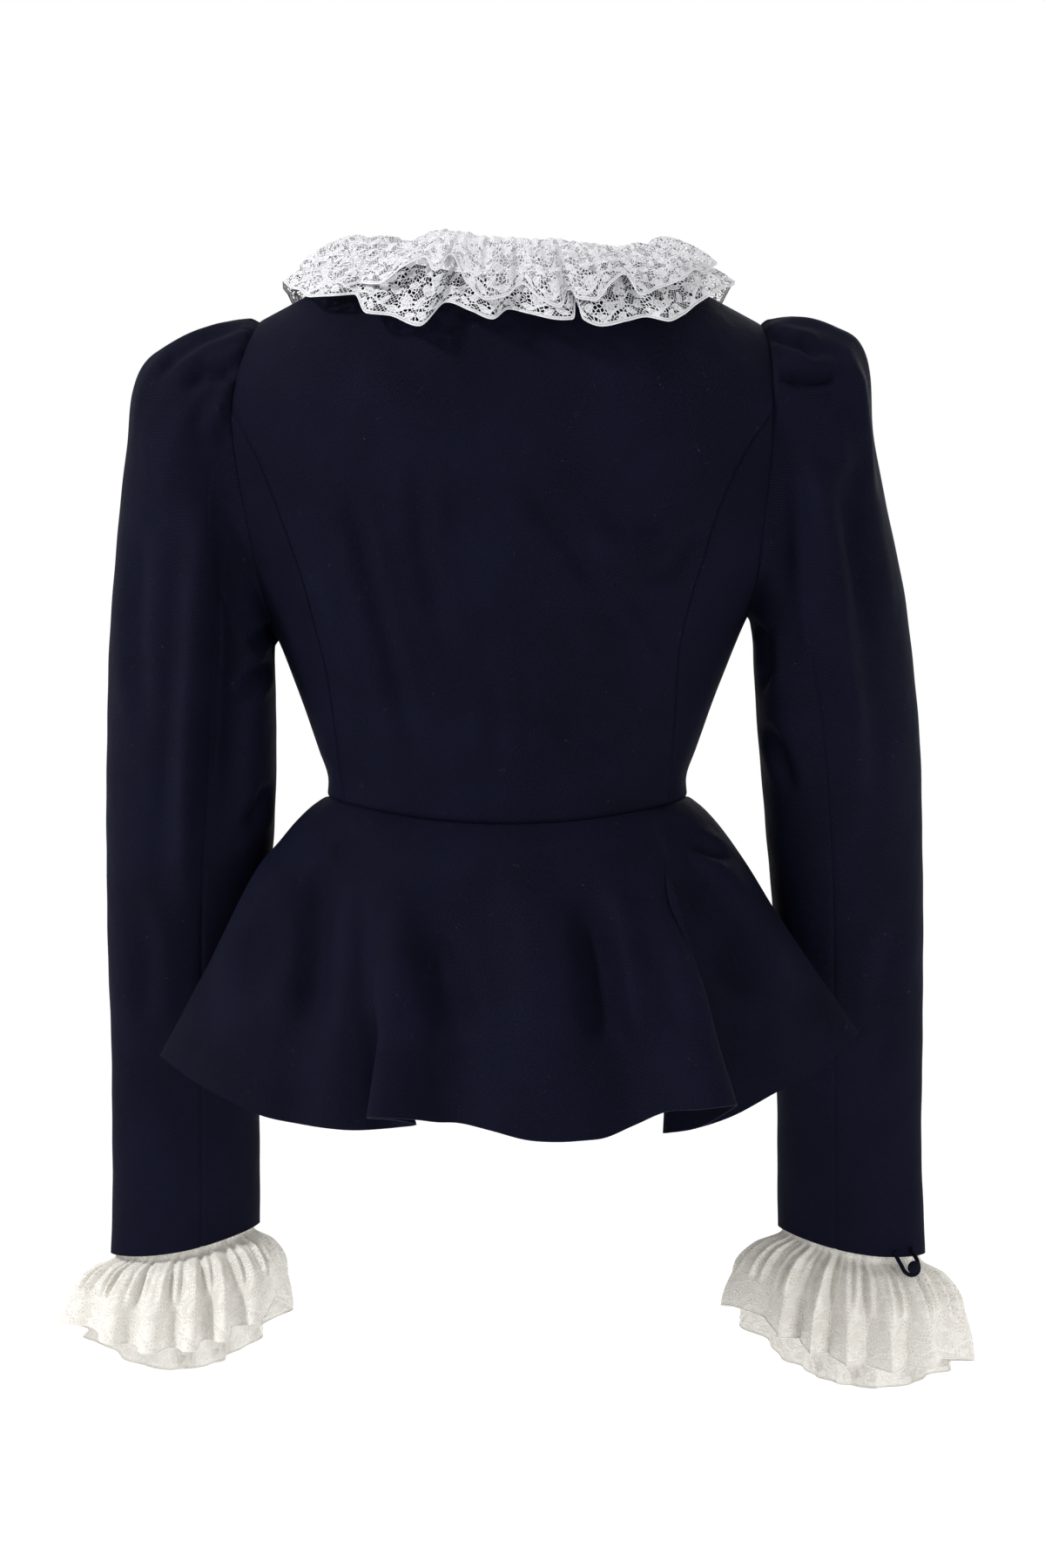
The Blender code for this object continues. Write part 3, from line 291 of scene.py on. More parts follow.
# Rings over which the gathers rise from the seam
GATHER_RISE = 0.35
# Small tucks between the gathers, right at the seam
TUCK_WIDTH = 2.6
TUCK_RISE = 2.1
TUCK_END = 0.13
TUCK_UNEVEN = ((0.35, 2.3, 0),)
TUCK_PLACES = (
    -74, -68, -56, -51, -38, -33, -20, -15, -2,
    4, 17, 22, 34, 39, 52, 58, 71,
)

# Collar ruffle tiers: share of the fall line, height over the body, lift, lift on the shoulders, wave
COLLAR_LOWER = (
    (0, 1.2, 1.2, 0, 0.8),
    (-0.02, 6.5, 3.5, -1, 1.2),
    (0.1, 10.5, 4.5, 0, 2),
    (0.34, 13, 3.5, 0.5, 3.4),
    (0.64, 13.5, 1, 3, 5),
    (0.86, 12.5, 0, 5, 6.2),
    (1.08, 11.5, 0, 4, 7),
)
COLLAR_UPPER = (
    (-0.035, 1.2, 1.2, 0, 0.8),
    (-0.09, 10, 6, -0.5, 1.2),
    (0.02, 16, 7.5, -0.5, 2),
    (0.27, 20, 6, -1, 3.4),
    (0.5, 20.5, 3.5, 0.5, 4.8),
    (0.7, 19.5, 1.5, 1, 5.8),
)
SHOULDER_SPREAD = 0.2
# Fall line of the collar: x, height on the body's own scale
FALL_BACK = ((0, -76), (50, -76), (80, -68), (108, -54), (132, -33), (146, 0))
FALL_FRONT = (
    (0, -146), (40, -140), (75, -126), (105, -98),
    (128, -62), (142, -25), (146, 0),
)
COLLAR_WAVES = 18
COLLAR_PHASE = 0.5
BACK_SHARE = 0.45
BACK_BLEND = 0.07
COLLAR_START = 0.006
# Waves along a tier: height, rate, start
COLLAR_UNEVEN = ((0.25, 41, 0),)
COLLAR_PUCKERS = ((1, 71 * TURN, 0), (0.6, 113 * TURN, 1))
CREST_WAVES = ((1.2, 58, 0.6), (0.9, 97, 2))

# Free edge of the lower tier at the back: x, swing out (1) or in (-1), height of the edge
LOWER_LOBES = (
    (-146, 0.2, -12), (-136, 0.6, -17), (-120, -0.3, -29.7), (-109, 0.3, -38.3),
    (-98.6, 0.9, -43.1), (-87.8, -0.2, -40.4), (-75, 0.4, -43.7), (-57.8, 1, -48),
    (-47, 0.7, -43.5), (-44, -1, -28), (-41, 0.7, -43.6), (-34, 1, -44.2),
    (-12.5, 0.2, -39.4), (-0.8, -0.9, -36.2), (8.9, 0.9, -43.7), (21.8, 0.3, -38.3),
    (38.9, -1, -31.5), (54, 1, -48), (73.3, 0.3, -40.2), (86, 0.9, -38.5),
    (98, -0.9, -24.5), (108, 0.5, -25.5), (120.6, 0.9, -25.4), (134, -0.3, -18),
    (146, 0.2, -14),
)
# Free edge of the upper tier at the back
UPPER_LOBES = (
    (-146, 0.1, -9), (-132, -0.2, -5), (-120.6, 0.6, -13.2), (-104.7, 0.2, -20.5),
    (-91, 1, -26), (-83.4, -1, -12), (-72.8, -0.1, -18.3), (-60, 0.9, -31),
    (-50, 0.4, -30), (-44, -0.9, -23), (-36, 1, -36), (-24, 0.6, -31),
    (-10, -0.8, -20), (2, 0.5, -29), (14, 1, -31), (28, 0.3, -19),
    (40, -0.9, 0), (49, 1, -12), (58, -0.7, -2), (72, 0.1, -8),
    (88, 0.9, -19), (105, -0.6, -17), (122, 0.7, -21), (146, 0, -12),
)

# Height that the rolled crest gains or loses at the back: x, shift
CREST_SHIFT = (
    (-146, -5), (-134, -10), (-118, -12), (-100, -9), (-80, -4), (-52, 0),
    (0, 6), (40, 3), (70, 0), (98, -4), (122, -4), (146, -1),
)

# Cuff ruffle: share of the drop, share of the spread, wave
CUFF_PROFILE = ((0.06, 0, 0.8), (0.2, 0.42, 2.6), (0.5, 0.8, 5.2), (1, 1, 7.4))
CUFF_TUCK = 10.0
CUFF_CLEAR = 4.2
# Cuff ruffle edge: middle x, middle y, half width, half depth, z outer, z inner, z back, z front
CUFF_EDGE_LEFT = (236.0, -113.0, 77.0, 52.0, -746.0, -730.0, -757.0, -789.0)
CUFF_EDGE_RIGHT = (244.0, -113.0, 82.5, 52.0, -772.0, -732.0, -767.0, -800.0)
CUFF_WAVES_LEFT = 12
CUFF_WAVES_RIGHT = 13
# Waves round a cuff ruffle: height, rate, start
CUFF_UNEVEN = ((0.08, 3, 0.8), (0.05, 5, 2.1))
CUFF_SIZES = ((0.24, 4, 1), (0.2, 7, 0))
CUFF_PUCKERS = ((1, 37, 0.7), (0.7, 53, 2))
CUFF_MEAN_SIZE = 0.95
# Share of the drop at which the small gathers have opened out
SMALL_GATHER_END = 0.6

# Front closing: heights of the buttons and their sizes
BUTTON_HEIGHTS = (-172.0, -216.0, -260.0, -304.0, -346.0)
BUTTON_RADIUS = 6.5
BUTTON_RISE = 8.2
SHANK_RADIUS = 2.4
BUTTON_OFFSET = 10.0
LOOP_CORD = 2.4
FASTENING_GAP = 0.7
CUFF_BUTTON_RADIUS = 4.6
CUFF_BUTTON_RISE = 5.6
CUFF_SHANK_RADIUS = 1.6
CUFF_BUTTON_INDEX = 6
CUFF_BUTTON_DROP = 3.6
CUFF_BUTTON_REACH = 11.0
CUFF_LOOP_RADIUS = 1.5
SEAM_GAP = 0.3
LOOP_GAP = 0.4
# Steps of a button's dome: share of its radius drawn in, share of its height gained
DOME_STEPS = ((0.24, 0.1), (0.26, 0.07), (0.3, 0.045), (0.4, 0.02))
# Route of the cuff's loop from the cuff's edge: across, down, out
CUFF_LOOP_ROUTE = (
    (-7.2, -6, -0.3), (-7, -3, 0.3), (-7, 1.6, 6), (-5.9, 6.4, 9.6), (-2.6, 9, 11.6),
    (2.6, 9, 11.6), (5.9, 6.4, 9.6), (7, 1.6, 6), (7, -3, 0.3), (7.2, -6, -0.3),
)

# Camera of the photograph's view, and the stage
VIEW_TARGET = (-0.0102, 0.0, -0.354)
VIEW_DISTANCE = 2.8
VIEW_ELEVATION = 2.0
VIEW_LENS = 93.33
SENSOR = 36.0
FLOOR_HEIGHT = -1.3
FLOOR_SPAN = 40.0


class Side(Enum):
    """Side of the wearer, as the sign of x."""

    LEFT = 1.0
    RIGHT = -1.0


class Face(Enum):
    """Face of the jacket that a crease lies on, as the sign of y."""

    BACK = 1.0
    FRONT = -1.0


class Hold(Enum):
    """How a piece of cloth is held up."""

    HUNG = "hung"
    GATHERED = "gathered"
    DRAPED = "draped"


@dataclass(frozen=True)
class Crease:
    """A soft trough in the cloth, or a ridge where its depth is under zero.

    Args:
        route: points of its line as x and z, mm, looked at square to the back or the front.
        depth: how far it sinks, mm.
        width: half width at which it has nearly run out, mm.
        face: the face of the jacket that it lies on.
    """

    route: tuple[tuple[float, float], ...]
    depth: float
    width: float
    face: Face = Face.BACK


# Drag lines of the bodice
BODICE_CREASES = (
    Crease(((109, -140), (96, -197), (74, -290), (55, -350)), 5.1, 6.9),
    Crease(((60, -128), (56, -197), (38, -270)), 3.2, 6.9),
    Crease(((-4, -142), (-45, -194), (-68, -232)), 4.9, 8.5),
    Crease(((-70, -228), (-86, -250), (-99, -278)), -4.9, 6.9),
    Crease(((-22, -304), (-50, -328), (-76, -344)), 4.1, 6.9),
    Crease(((-58, -172), (-80, -182), (-112, -186)), 4.0, 7.7),
    Crease(((128, -196), (116, -250), (96, -300)), -2.9, 7.7),
    Crease(((20, -250), (6, -300), (10, -352)), 2.5, 7.7),
    Crease(((-130, -176), (-108, -206), (-84, -214)), 3.4, 6.9),
    Crease(((70, -160), (58, -230), (36, -300)), 4.1, 7.7, Face.FRONT),
    Crease(((-74, -150), (-60, -226), (-30, -290)), 4.6, 7.7, Face.FRONT),
    Crease(((120, -250), (98, -290), (84, -340)), 3.4, 6.9, Face.FRONT),
    Crease(((-122, -244), (-100, -300), (-88, -342)), 3.2, 6.9, Face.FRONT),
)

# Folds of the sleeves
SLEEVE_CREASES = (
    Crease(((176, -42), (204, -51), (226, -64), (242, -84)), 4.1, 4.0),
    Crease(((170, -66), (186, -76), (204, -74), (222, -88)), 6.2, 5.7),
    Crease(((177, -84), (192, -98), (206, -124)), -3.6, 6.5),
    Crease(((204, -140), (207, -200), (210, -262), (219, -360), (228, -460)), -6.7, 8.8),
    Crease(((186, -150), (188, -220), (194, -300), (204, -400)), 9.4, 10.4),
    Crease(((176, -262), (168, -250), (158, -240)), 5.8, 3.6),
    Crease(((184, -296), (174, -282), (160, -266)), 6.7, 4.5),
    Crease(((182, -385), (172, -372), (162, -350)), 5.3, 4.8),
    Crease(((246, -170), (252, -240), (250, -330)), 3.0, 7.2),
    Crease(((262, -420), (252, -470), (256, -540)), 2.5, 8.1),
    Crease(((-168, -50), (-186, -53), (-200, -56), (-214, -68)), 5.3, 4.0),
    Crease(((-178, -74), (-198, -82), (-216, -79), (-228, -84)), 6.7, 5.2),
    Crease(((-226, -50), (-237, -80), (-242, -120), (-246, -172)), -4.7, 4.8),
    Crease(((-178, -90), (-203, -132), (-217, -194), (-223, -240), (-234, -300), (-242, -400)),
           -6.7, 8.8),
    Crease(((-232, -130), (-236, -190), (-248, -260)), 5.8, 8.1),
    Crease(((-163, -236), (-176, -252), (-178, -272), (-172, -296)), 5.3, 3.6),
    Crease(((-173, -308), (-186, -330), (-197, -362)), 4.7, 4.5),
    Crease(((-182, -150), (-190, -220), (-198, -300)), 6.2, 8.1),
    Crease(((-270, -440), (-262, -500), (-266, -570)), 2.5, 8.1),
    Crease(((178, -250), (196, -262), (226, -266)), 5.8, 5.7, Face.FRONT),
    Crease(((176, -300), (204, -318), (240, -316)), 6.2, 6.5, Face.FRONT),
    Crease(((190, -120), (204, -170), (210, -230)), 4.7, 7.2, Face.FRONT),
    Crease(((-182, -262), (-208, -276), (-240, -274)), 6.2, 5.7, Face.FRONT),
    Crease(((-188, -318), (-216, -330), (-250, -322)), 5.8, 6.5, Face.FRONT),
    Crease(((-196, -110), (-208, -164), (-214, -226)), 4.7, 7.2, Face.FRONT),
)

# Small drag lines of the peplum
PEPLUM_CREASES = (
    Crease(((144, -388), (172, -443), (200, -503)), -8.5, 13.0),
    Crease(((127, -401), (129, -465), (131, -522)), 9.6, 12.0),
    Crease(((74, -409), (75, -465), (80, -519)), -7.4, 13.0),
    Crease(((48, -443), (39, -487), (30, -522)), 8.5, 12.0),
    Crease(((-10, -401), (-17, -459), (-23, -519)), -6.8, 18.0),
    Crease(((-54, -420), (-59, -476), (-65, -532)), 7.9, 12.0),
    Crease(((-63, -401), (-80, -465), (-97, -540)), -7.4, 11.0),
    Crease(((-95, -395), (-126, -443), (-170, -503)), 7.4, 13.0),
    Crease(((-127, -395), (-165, -443), (-201, -503)), -6.2, 12.0),
    Crease(((-122, -390), (-136, -398), (-150, -406)), 5.1, 4.0),
    Crease(((-118, -402), (-130, -409), (-140, -413)), -2.9, 4.0),
    Crease(((100, -384), (112, -394), (118, -408)), 2.9, 5.0),
    Crease(((120, -384), (112, -396), (98, -404)), 3.4, 5.0, Face.FRONT),
)


def ease(share: Array) -> Array:
    """Soft step from 0 to 1."""
    return share**2 * (3 - 2 * share)


def unit(vectors: Array) -> Array:
    """The same directions with a length of one."""
    return vectors / np.maximum(np.linalg.norm(vectors, axis=-1, keepdims=True), 1e-9)


def waves(rows: tuple, at: Array) -> Array:
    """Sum of sine waves, each given as its height, its rate and its start."""
    return sum(height * np.sin(rate * at + start) for height, rate, start in rows)


def path_lengths(points: Array) -> Array:
    """Length of a line of points from its start to each of them."""
    return np.concatenate([[0.0], np.cumsum(np.linalg.norm(np.diff(points, axis=0), axis=1))])


def through(rows: tuple, at: Array, even: bool = False) -> Array:
    """Values of the later columns of a table on the smooth curve through its rows.

    Args:
        rows: the table, with its key in the first column.
        at: keys to read it at.
        even: keeps the curve between neighbouring rows' values, with no swing past them.

    Returns:
        The values, with a last axis for the columns.
    """
    table = np.array(rows, float)
    keys = table[:, 0]
    values = table[:, 1:]
    slopes = np.gradient(values, keys, axis=0)
    if even:
        steps = np.diff(values, axis=0) / np.diff(keys)[:, None]
        turns = steps[:-1] * steps[1:] <= 0
        total = np.where(turns, 1.0, steps[:-1] + steps[1:])
        slopes = np.zeros_like(values)
        slopes[1:-1] = np.where(turns, 0.0, 2 * steps[:-1] * steps[1:] / total)
    at = np.clip(np.asarray(at, float), keys[0], keys[-1])
    low = np.clip(np.searchsorted(keys, at, side="right") - 1, 0, len(keys) - 2)
    span = (keys[low + 1] - keys[low])[..., None]
    part = (at - keys[low])[..., None] / span
    start = (1 + 2 * part) * (1 - part) ** 2
    end = ease(part)
    leave = part * (1 - part) ** 2 * span
    arrive = part**2 * (part - 1) * span
    return start * values[low] + end * values[low + 1] + leave * slopes[low] + arrive * slopes[low + 1]


def half_width_at(level: Array) -> Array:
    """Half width of the body at a height."""
    return through(BODY_SECTIONS, level)[..., 0]


def body_point(turn: Array, level: Array) -> Array:
    """Point of the body's cloth.

    Args:
        turn: angle from the centre back, radians, with the wearer's left over zero.
        level: height in the body's own scale, mm.

    Returns:
        Points, mm.
    """
    turn = np.asarray(turn, float)
    level = np.asarray(level, float)
    half_width, back, front = np.moveaxis(through(BODY_SECTIONS, np.minimum(level, 0.0)), -1, 0)
    lean = np.clip((level - SHELF) / -SHELF, 0.0, None) * math.pi / 2
    forward = np.cos(turn)
    depth = np.where(forward >= 0, back, front)
    x = half_width * np.sin(turn)
    y = depth * np.sign(forward) * np.abs(forward) ** SECTION_POWER * np.cos(lean)
    ridge = through(SHOULDER_LINE, np.abs(x))[..., 0]
    fade = np.clip((WAIST + DIP_FADE - level) / DIP_FADE, 0.0, 1.0)
    dip = np.where(forward >= 0, WAIST_DIP_BACK, WAIST_DIP_FRONT) * forward**2
    low = level + dip * ease(fade)
    z = np.where(level < SHELF, low, SHELF + (ridge - SHELF) * np.sin(lean))
    return np.stack(np.broadcast_arrays(x, y, z), axis=-1)


def body_normal(turn: Array, level: Array) -> Array:
    """Outward direction of the body's cloth."""
    across = body_point(turn + 1e-4, level) - body_point(turn - 1e-4, level)
    up = body_point(turn, level + 0.01) - body_point(turn, level - 0.01)
    return unit(np.cross(up, across))


def turn_at(distance: Array, level: Array, front: bool = False) -> Array:
    """Angle round the body at which it stands this far from the middle at a height."""
    ratio = np.clip(np.asarray(distance, float) / half_width_at(level), 0.0, 1.0)
    turn = np.arcsin(ratio)
    return math.pi - turn if front else turn


def by_length(path: Array, share: Array) -> Array:
    """Rows of a dense path of angle and height, at shares of its length on the body."""
    length = path_lengths(body_point(path[:, 0], path[:, 1]))
    wanted = np.asarray(share) * length[-1]
    return np.stack([np.interp(wanted, length, path[:, k]) for k in (0, 1)], axis=-1)


def path_by_level(rows: tuple, low: float, high: float, front: bool = False) -> Array:
    """Dense path along a table of height and distance from the middle."""
    level = np.linspace(low, high, PATH_STEPS)
    distance = through(rows, level)[..., 0]
    return np.stack([turn_at(distance, level, front), level], axis=1)


def path_by_distance(rows: tuple, start: float, end: float, front: bool = False) -> Array:
    """Dense path along a table of distance from the middle and height."""
    distance = np.linspace(start, end, PATH_STEPS)
    level = through(rows, distance)[..., 0]
    return np.stack([turn_at(distance, level, front), level], axis=1)


def sample(edge: list, at: Array) -> Array:
    """Rows of an edge made of stretches.

    Args:
        edge: pairs of a dense path and its number of spans.
        at: places on the edge, counted in spans from its start.

    Returns:
        Rows of angle and height.
    """
    rows = np.empty((len(at), 2))
    start = 0
    for path, spans in edge:
        inside = at >= start - 1e-9
        rows[inside] = by_length(path, np.clip((at - start) / spans, 0.0, 1.0))[inside]
        start += spans
    return rows


def mirrored(edge: list) -> list:
    """The same edge on the wearer's other side."""
    return [(path * np.array([-1.0, 1.0]), spans) for path, spans in edge]


def reverse(edge: list) -> list:
    """The same edge run from its other end."""
    return [(path[::-1], spans) for path, spans in edge[::-1]]


def patch(low: Array, high: Array, left: Array, right: Array,
          across: Array, up: Array) -> Array:
    """Grid of angle and height filled in between four edges, at shares across and up."""
    s = across[None, :, None]
    t = up[:, None, None]
    ruled = (1 - t) * low[None] + t * high[None]
    crossed = (1 - s) * left[:, None] + s * right[:, None]
    corners = ((1 - s) * (1 - t) * low[0] + s * (1 - t) * low[-1]
               + (1 - s) * t * high[0] + s * t * high[-1])
    return ruled + crossed - corners


def with_edges(count: int, length: float, low: bool = True, high: bool = True) -> Array:
    """Shares from 0 to 1 that are even in the middle and close at the seams.

    Args:
        count: number of even steps.
        length: the length that they cover, mm.
        low: whether the start is a seam.
        high: whether the end is a seam.

    Returns:
        The shares in order.
    """
    near = np.array(SEAM_ROWS) / length
    shares = [np.linspace(0.0, 1.0, count + 1)]
    if low:
        shares.append(near)
    if high:
        shares.append(1.0 - near)
    made = np.unique(np.round(np.concatenate(shares), 6))
    keep = np.concatenate([[True], np.diff(made) > ROW_GAP / length])
    made = made[keep]
    made[-1] = 1.0
    return made


def run_lengths(points: Array, axis: int) -> Array:
    """Length along one axis of a grid, from its start to each point, mm."""
    steps = np.linalg.norm(np.diff(points, axis=axis), axis=-1)
    total = np.cumsum(steps, axis=axis)
    pad = [(0, 0), (0, 0)]
    pad[axis] = (1, 0)
    return np.pad(total, pad)


def seam_dip(points: Array, edges: tuple) -> Array:
    """How far each point of a grid sinks towards its seams.

    Args:
        points: the grid, mm.
        edges: whether the left, right, low and high edges are seams.

    Returns:
        The depth at each point, mm.
    """
    across = run_lengths(points, 1)
    up = run_lengths(points, 0)
    away = (across, across[:, -1:] - across, up, up[-1:] - up)
    dip = np.zeros(points.shape[:2])
    for distance, seam in zip(away, edges):
        if seam:
            dip = np.maximum(dip, SEAM_DEPTH * np.exp(-((distance / SEAM_WIDTH) ** 2)))
    return dip


def grid_normals(points: Array) -> Array:
    """Unit normals of a grid of points."""
    return unit(np.cross(np.gradient(points, axis=1), np.gradient(points, axis=0)))


def crease_depth(points: Array, normals: Array, creases: tuple) -> Array:
    """Depth of a set of creases at each point of a grid, mm."""
    depth = np.zeros(points.shape[:2])
    flat = points[..., (0, 2)]
    for crease in creases:
        route = np.array(crease.route, float)
        nearest = np.full(points.shape[:2], 1e9)
        place = np.zeros(points.shape[:2])
        starts = path_lengths(route)
        for start, end, length, before in zip(route[:-1], route[1:], np.diff(starts), starts):
            line = (end - start) / length
            along = np.clip((flat - start) @ line, 0.0, length)
            away = np.linalg.norm(flat - start - along[..., None] * line, axis=-1)
            closer = away < nearest
            nearest = np.where(closer, away, nearest)
            place = np.where(closer, (before + along) / starts[-1], place)
        ends = ease(np.clip(np.minimum(place, 1 - place) / CREASE_RUNOUT, 0.0, 1.0))
        facing = np.clip(normals[..., 1] * crease.face.value * SIDE_FADE, 0.0, 1.0)
        away = nearest / crease.width
        bank = BANK_HEIGHT * np.exp(-(((away - BANK_PLACE) / BANK_WIDTH) ** 2))
        depth += crease.depth * (np.exp(-(away**2)) - bank) * ends * facing
    return depth


def unevenness(points: Array, height: float) -> Array:
    """Slight waviness of pressed cloth: a few long waves that don't repeat together, mm."""
    total = sum(size for size, *_ in CLOTH_WAVES)
    raised = sum(size * np.sin(points @ np.array(rates) + start) for size, *rates, start in CLOTH_WAVES)
    return height * raised / total


class Seams:
    """Seam lines of one side of the body, as edges of dense paths and spans."""

    def __init__(self, side: Side) -> None:
        """Works out the lines from the tables of that side."""
        left = side is Side.LEFT
        self.side = side
        self.back_table = ARMHOLE_BACK_LEFT if left else ARMHOLE_BACK_RIGHT
        self.front_table = ARMHOLE_FRONT_LEFT if left else ARMHOLE_FRONT_RIGHT
        self.underarm = UNDERARM_LEFT if left else UNDERARM_RIGHT
        princess = PRINCESS_BACK_LEFT if left else PRINCESS_BACK_RIGHT
        self.princess_back, self.arm_back_up, self.arm_back_low = self.face(
            princess, self.back_table, PRINCESS_TOP_BACK, False)
        self.princess_front, self.arm_front_up, self.arm_front_low = self.face(
            PRINCESS_FRONT, self.front_table, PRINCESS_TOP_FRONT, True)
        level = np.linspace(WAIST, self.underarm, PATH_STEPS)
        turns = np.full(PATH_STEPS, math.pi / 2)
        self.side_seam = [(np.stack([turns, level], axis=1), PRINCESS_SPANS)]

    def face(self, princess: tuple, armhole: tuple, top: float, front: bool) -> tuple[list, list, list]:
        """Princess seam, upper armhole and lower armhole of the back or the front.

        Args:
            princess: table of the princess seam below the armhole.
            armhole: table of the armhole.
            top: height at which the seam meets the armhole.
            front: whether it is the front.

        Returns:
            The three edges.
        """
        rows = princess + ((top, float(through(armhole, np.array(top))[..., 0])),)
        return ([(path_by_level(rows, WAIST, top, front), PRINCESS_SPANS)],
                [(path_by_level(armhole, top, 0.0, front), ARMHOLE_SPANS)],
                [(self.low_armhole(armhole, top, front), SIDE_TOP_SPANS)])

    def low_armhole(self, table: tuple, top: float, front: bool) -> Array:
        """Lower part of the armhole, from its princess seam down to the underarm point."""
        path = path_by_level(table, table[0][0], top, front)[::-1]
        return np.vstack([path, [[math.pi / 2, self.underarm]]])

    def shoulder(self, spans: int, front: bool = False) -> list:
        """Shoulder seam from the neck point to the armhole."""
        distance = np.linspace(NECK_POINT, self.back_table[-1][1], PATH_STEPS)
        level = np.zeros(PATH_STEPS)
        return [(np.stack([turn_at(distance, level, front), level], axis=1), spans)]

    def armhole(self, at: Array) -> Array:
        """Armhole points from the shoulder down the back and up the front.

        Args:
            at: places round the armhole, from 0 to RING_COUNT.

        Returns:
            Points on the body, sunk into the armhole seam, mm.
        """
        double = 2 * ARMHOLE_SPANS
        edge = reverse([(self.arm_back_up[0][0], double)])
        edge += self.arm_back_low
        edge += reverse(self.arm_front_low)
        edge += [(self.arm_front_up[0][0], double)]
        rows = sample(edge, at) * np.array([self.side.value, 1.0])
        sunk = SEAM_DEPTH * body_normal(rows[:, 0], rows[:, 1])
        return body_point(rows[:, 0], rows[:, 1]) - sunk


def linear(code: str) -> tuple[float, float, float, float]:
    """Linear colour from an sRGB hex value."""
    parts = [int(code[k:k + 2], 16) / 255 for k in (1, 3, 5)]
    made = [p / 12.92 if p <= 0.04045 else ((p + 0.055) / 1.055) ** 2.4 for p in parts]
    return (made[0], made[1], made[2], 1.0)


def add(tree: bpy.types.NodeTree, kind: str, inputs: dict | None = None, output: int | str = 0,
        **settings) -> bpy.types.NodeSocket:
    """Adds a node with its settings and links.

    Args:
        tree: the node tree.
        kind: Blender's name of the node's type.
        inputs: by socket name or index, an output socket to link or a value to set.
        output: name or index of the output that is wanted.
        settings: attributes of the node.

    Returns:
        That output of the node.
    """
    made = tree.nodes.new(kind)
    for name, value in settings.items():
        setattr(made, name, value)
    for key, value in (inputs or {}).items():
        if isinstance(value, bpy.types.NodeSocket):
            tree.links.new(value, made.inputs[key])
        else:
            made.inputs[key].default_value = value
    return made.outputs[output]


def new_material(name: str) -> tuple[Material, bpy.types.NodeTree, bpy.types.Node]:
    """A material with its tree and its Principled shader."""
    made = bpy.data.materials.new(name)
    made.use_nodes = True
    return made, made.node_tree, made.node_tree.nodes["Principled BSDF"]


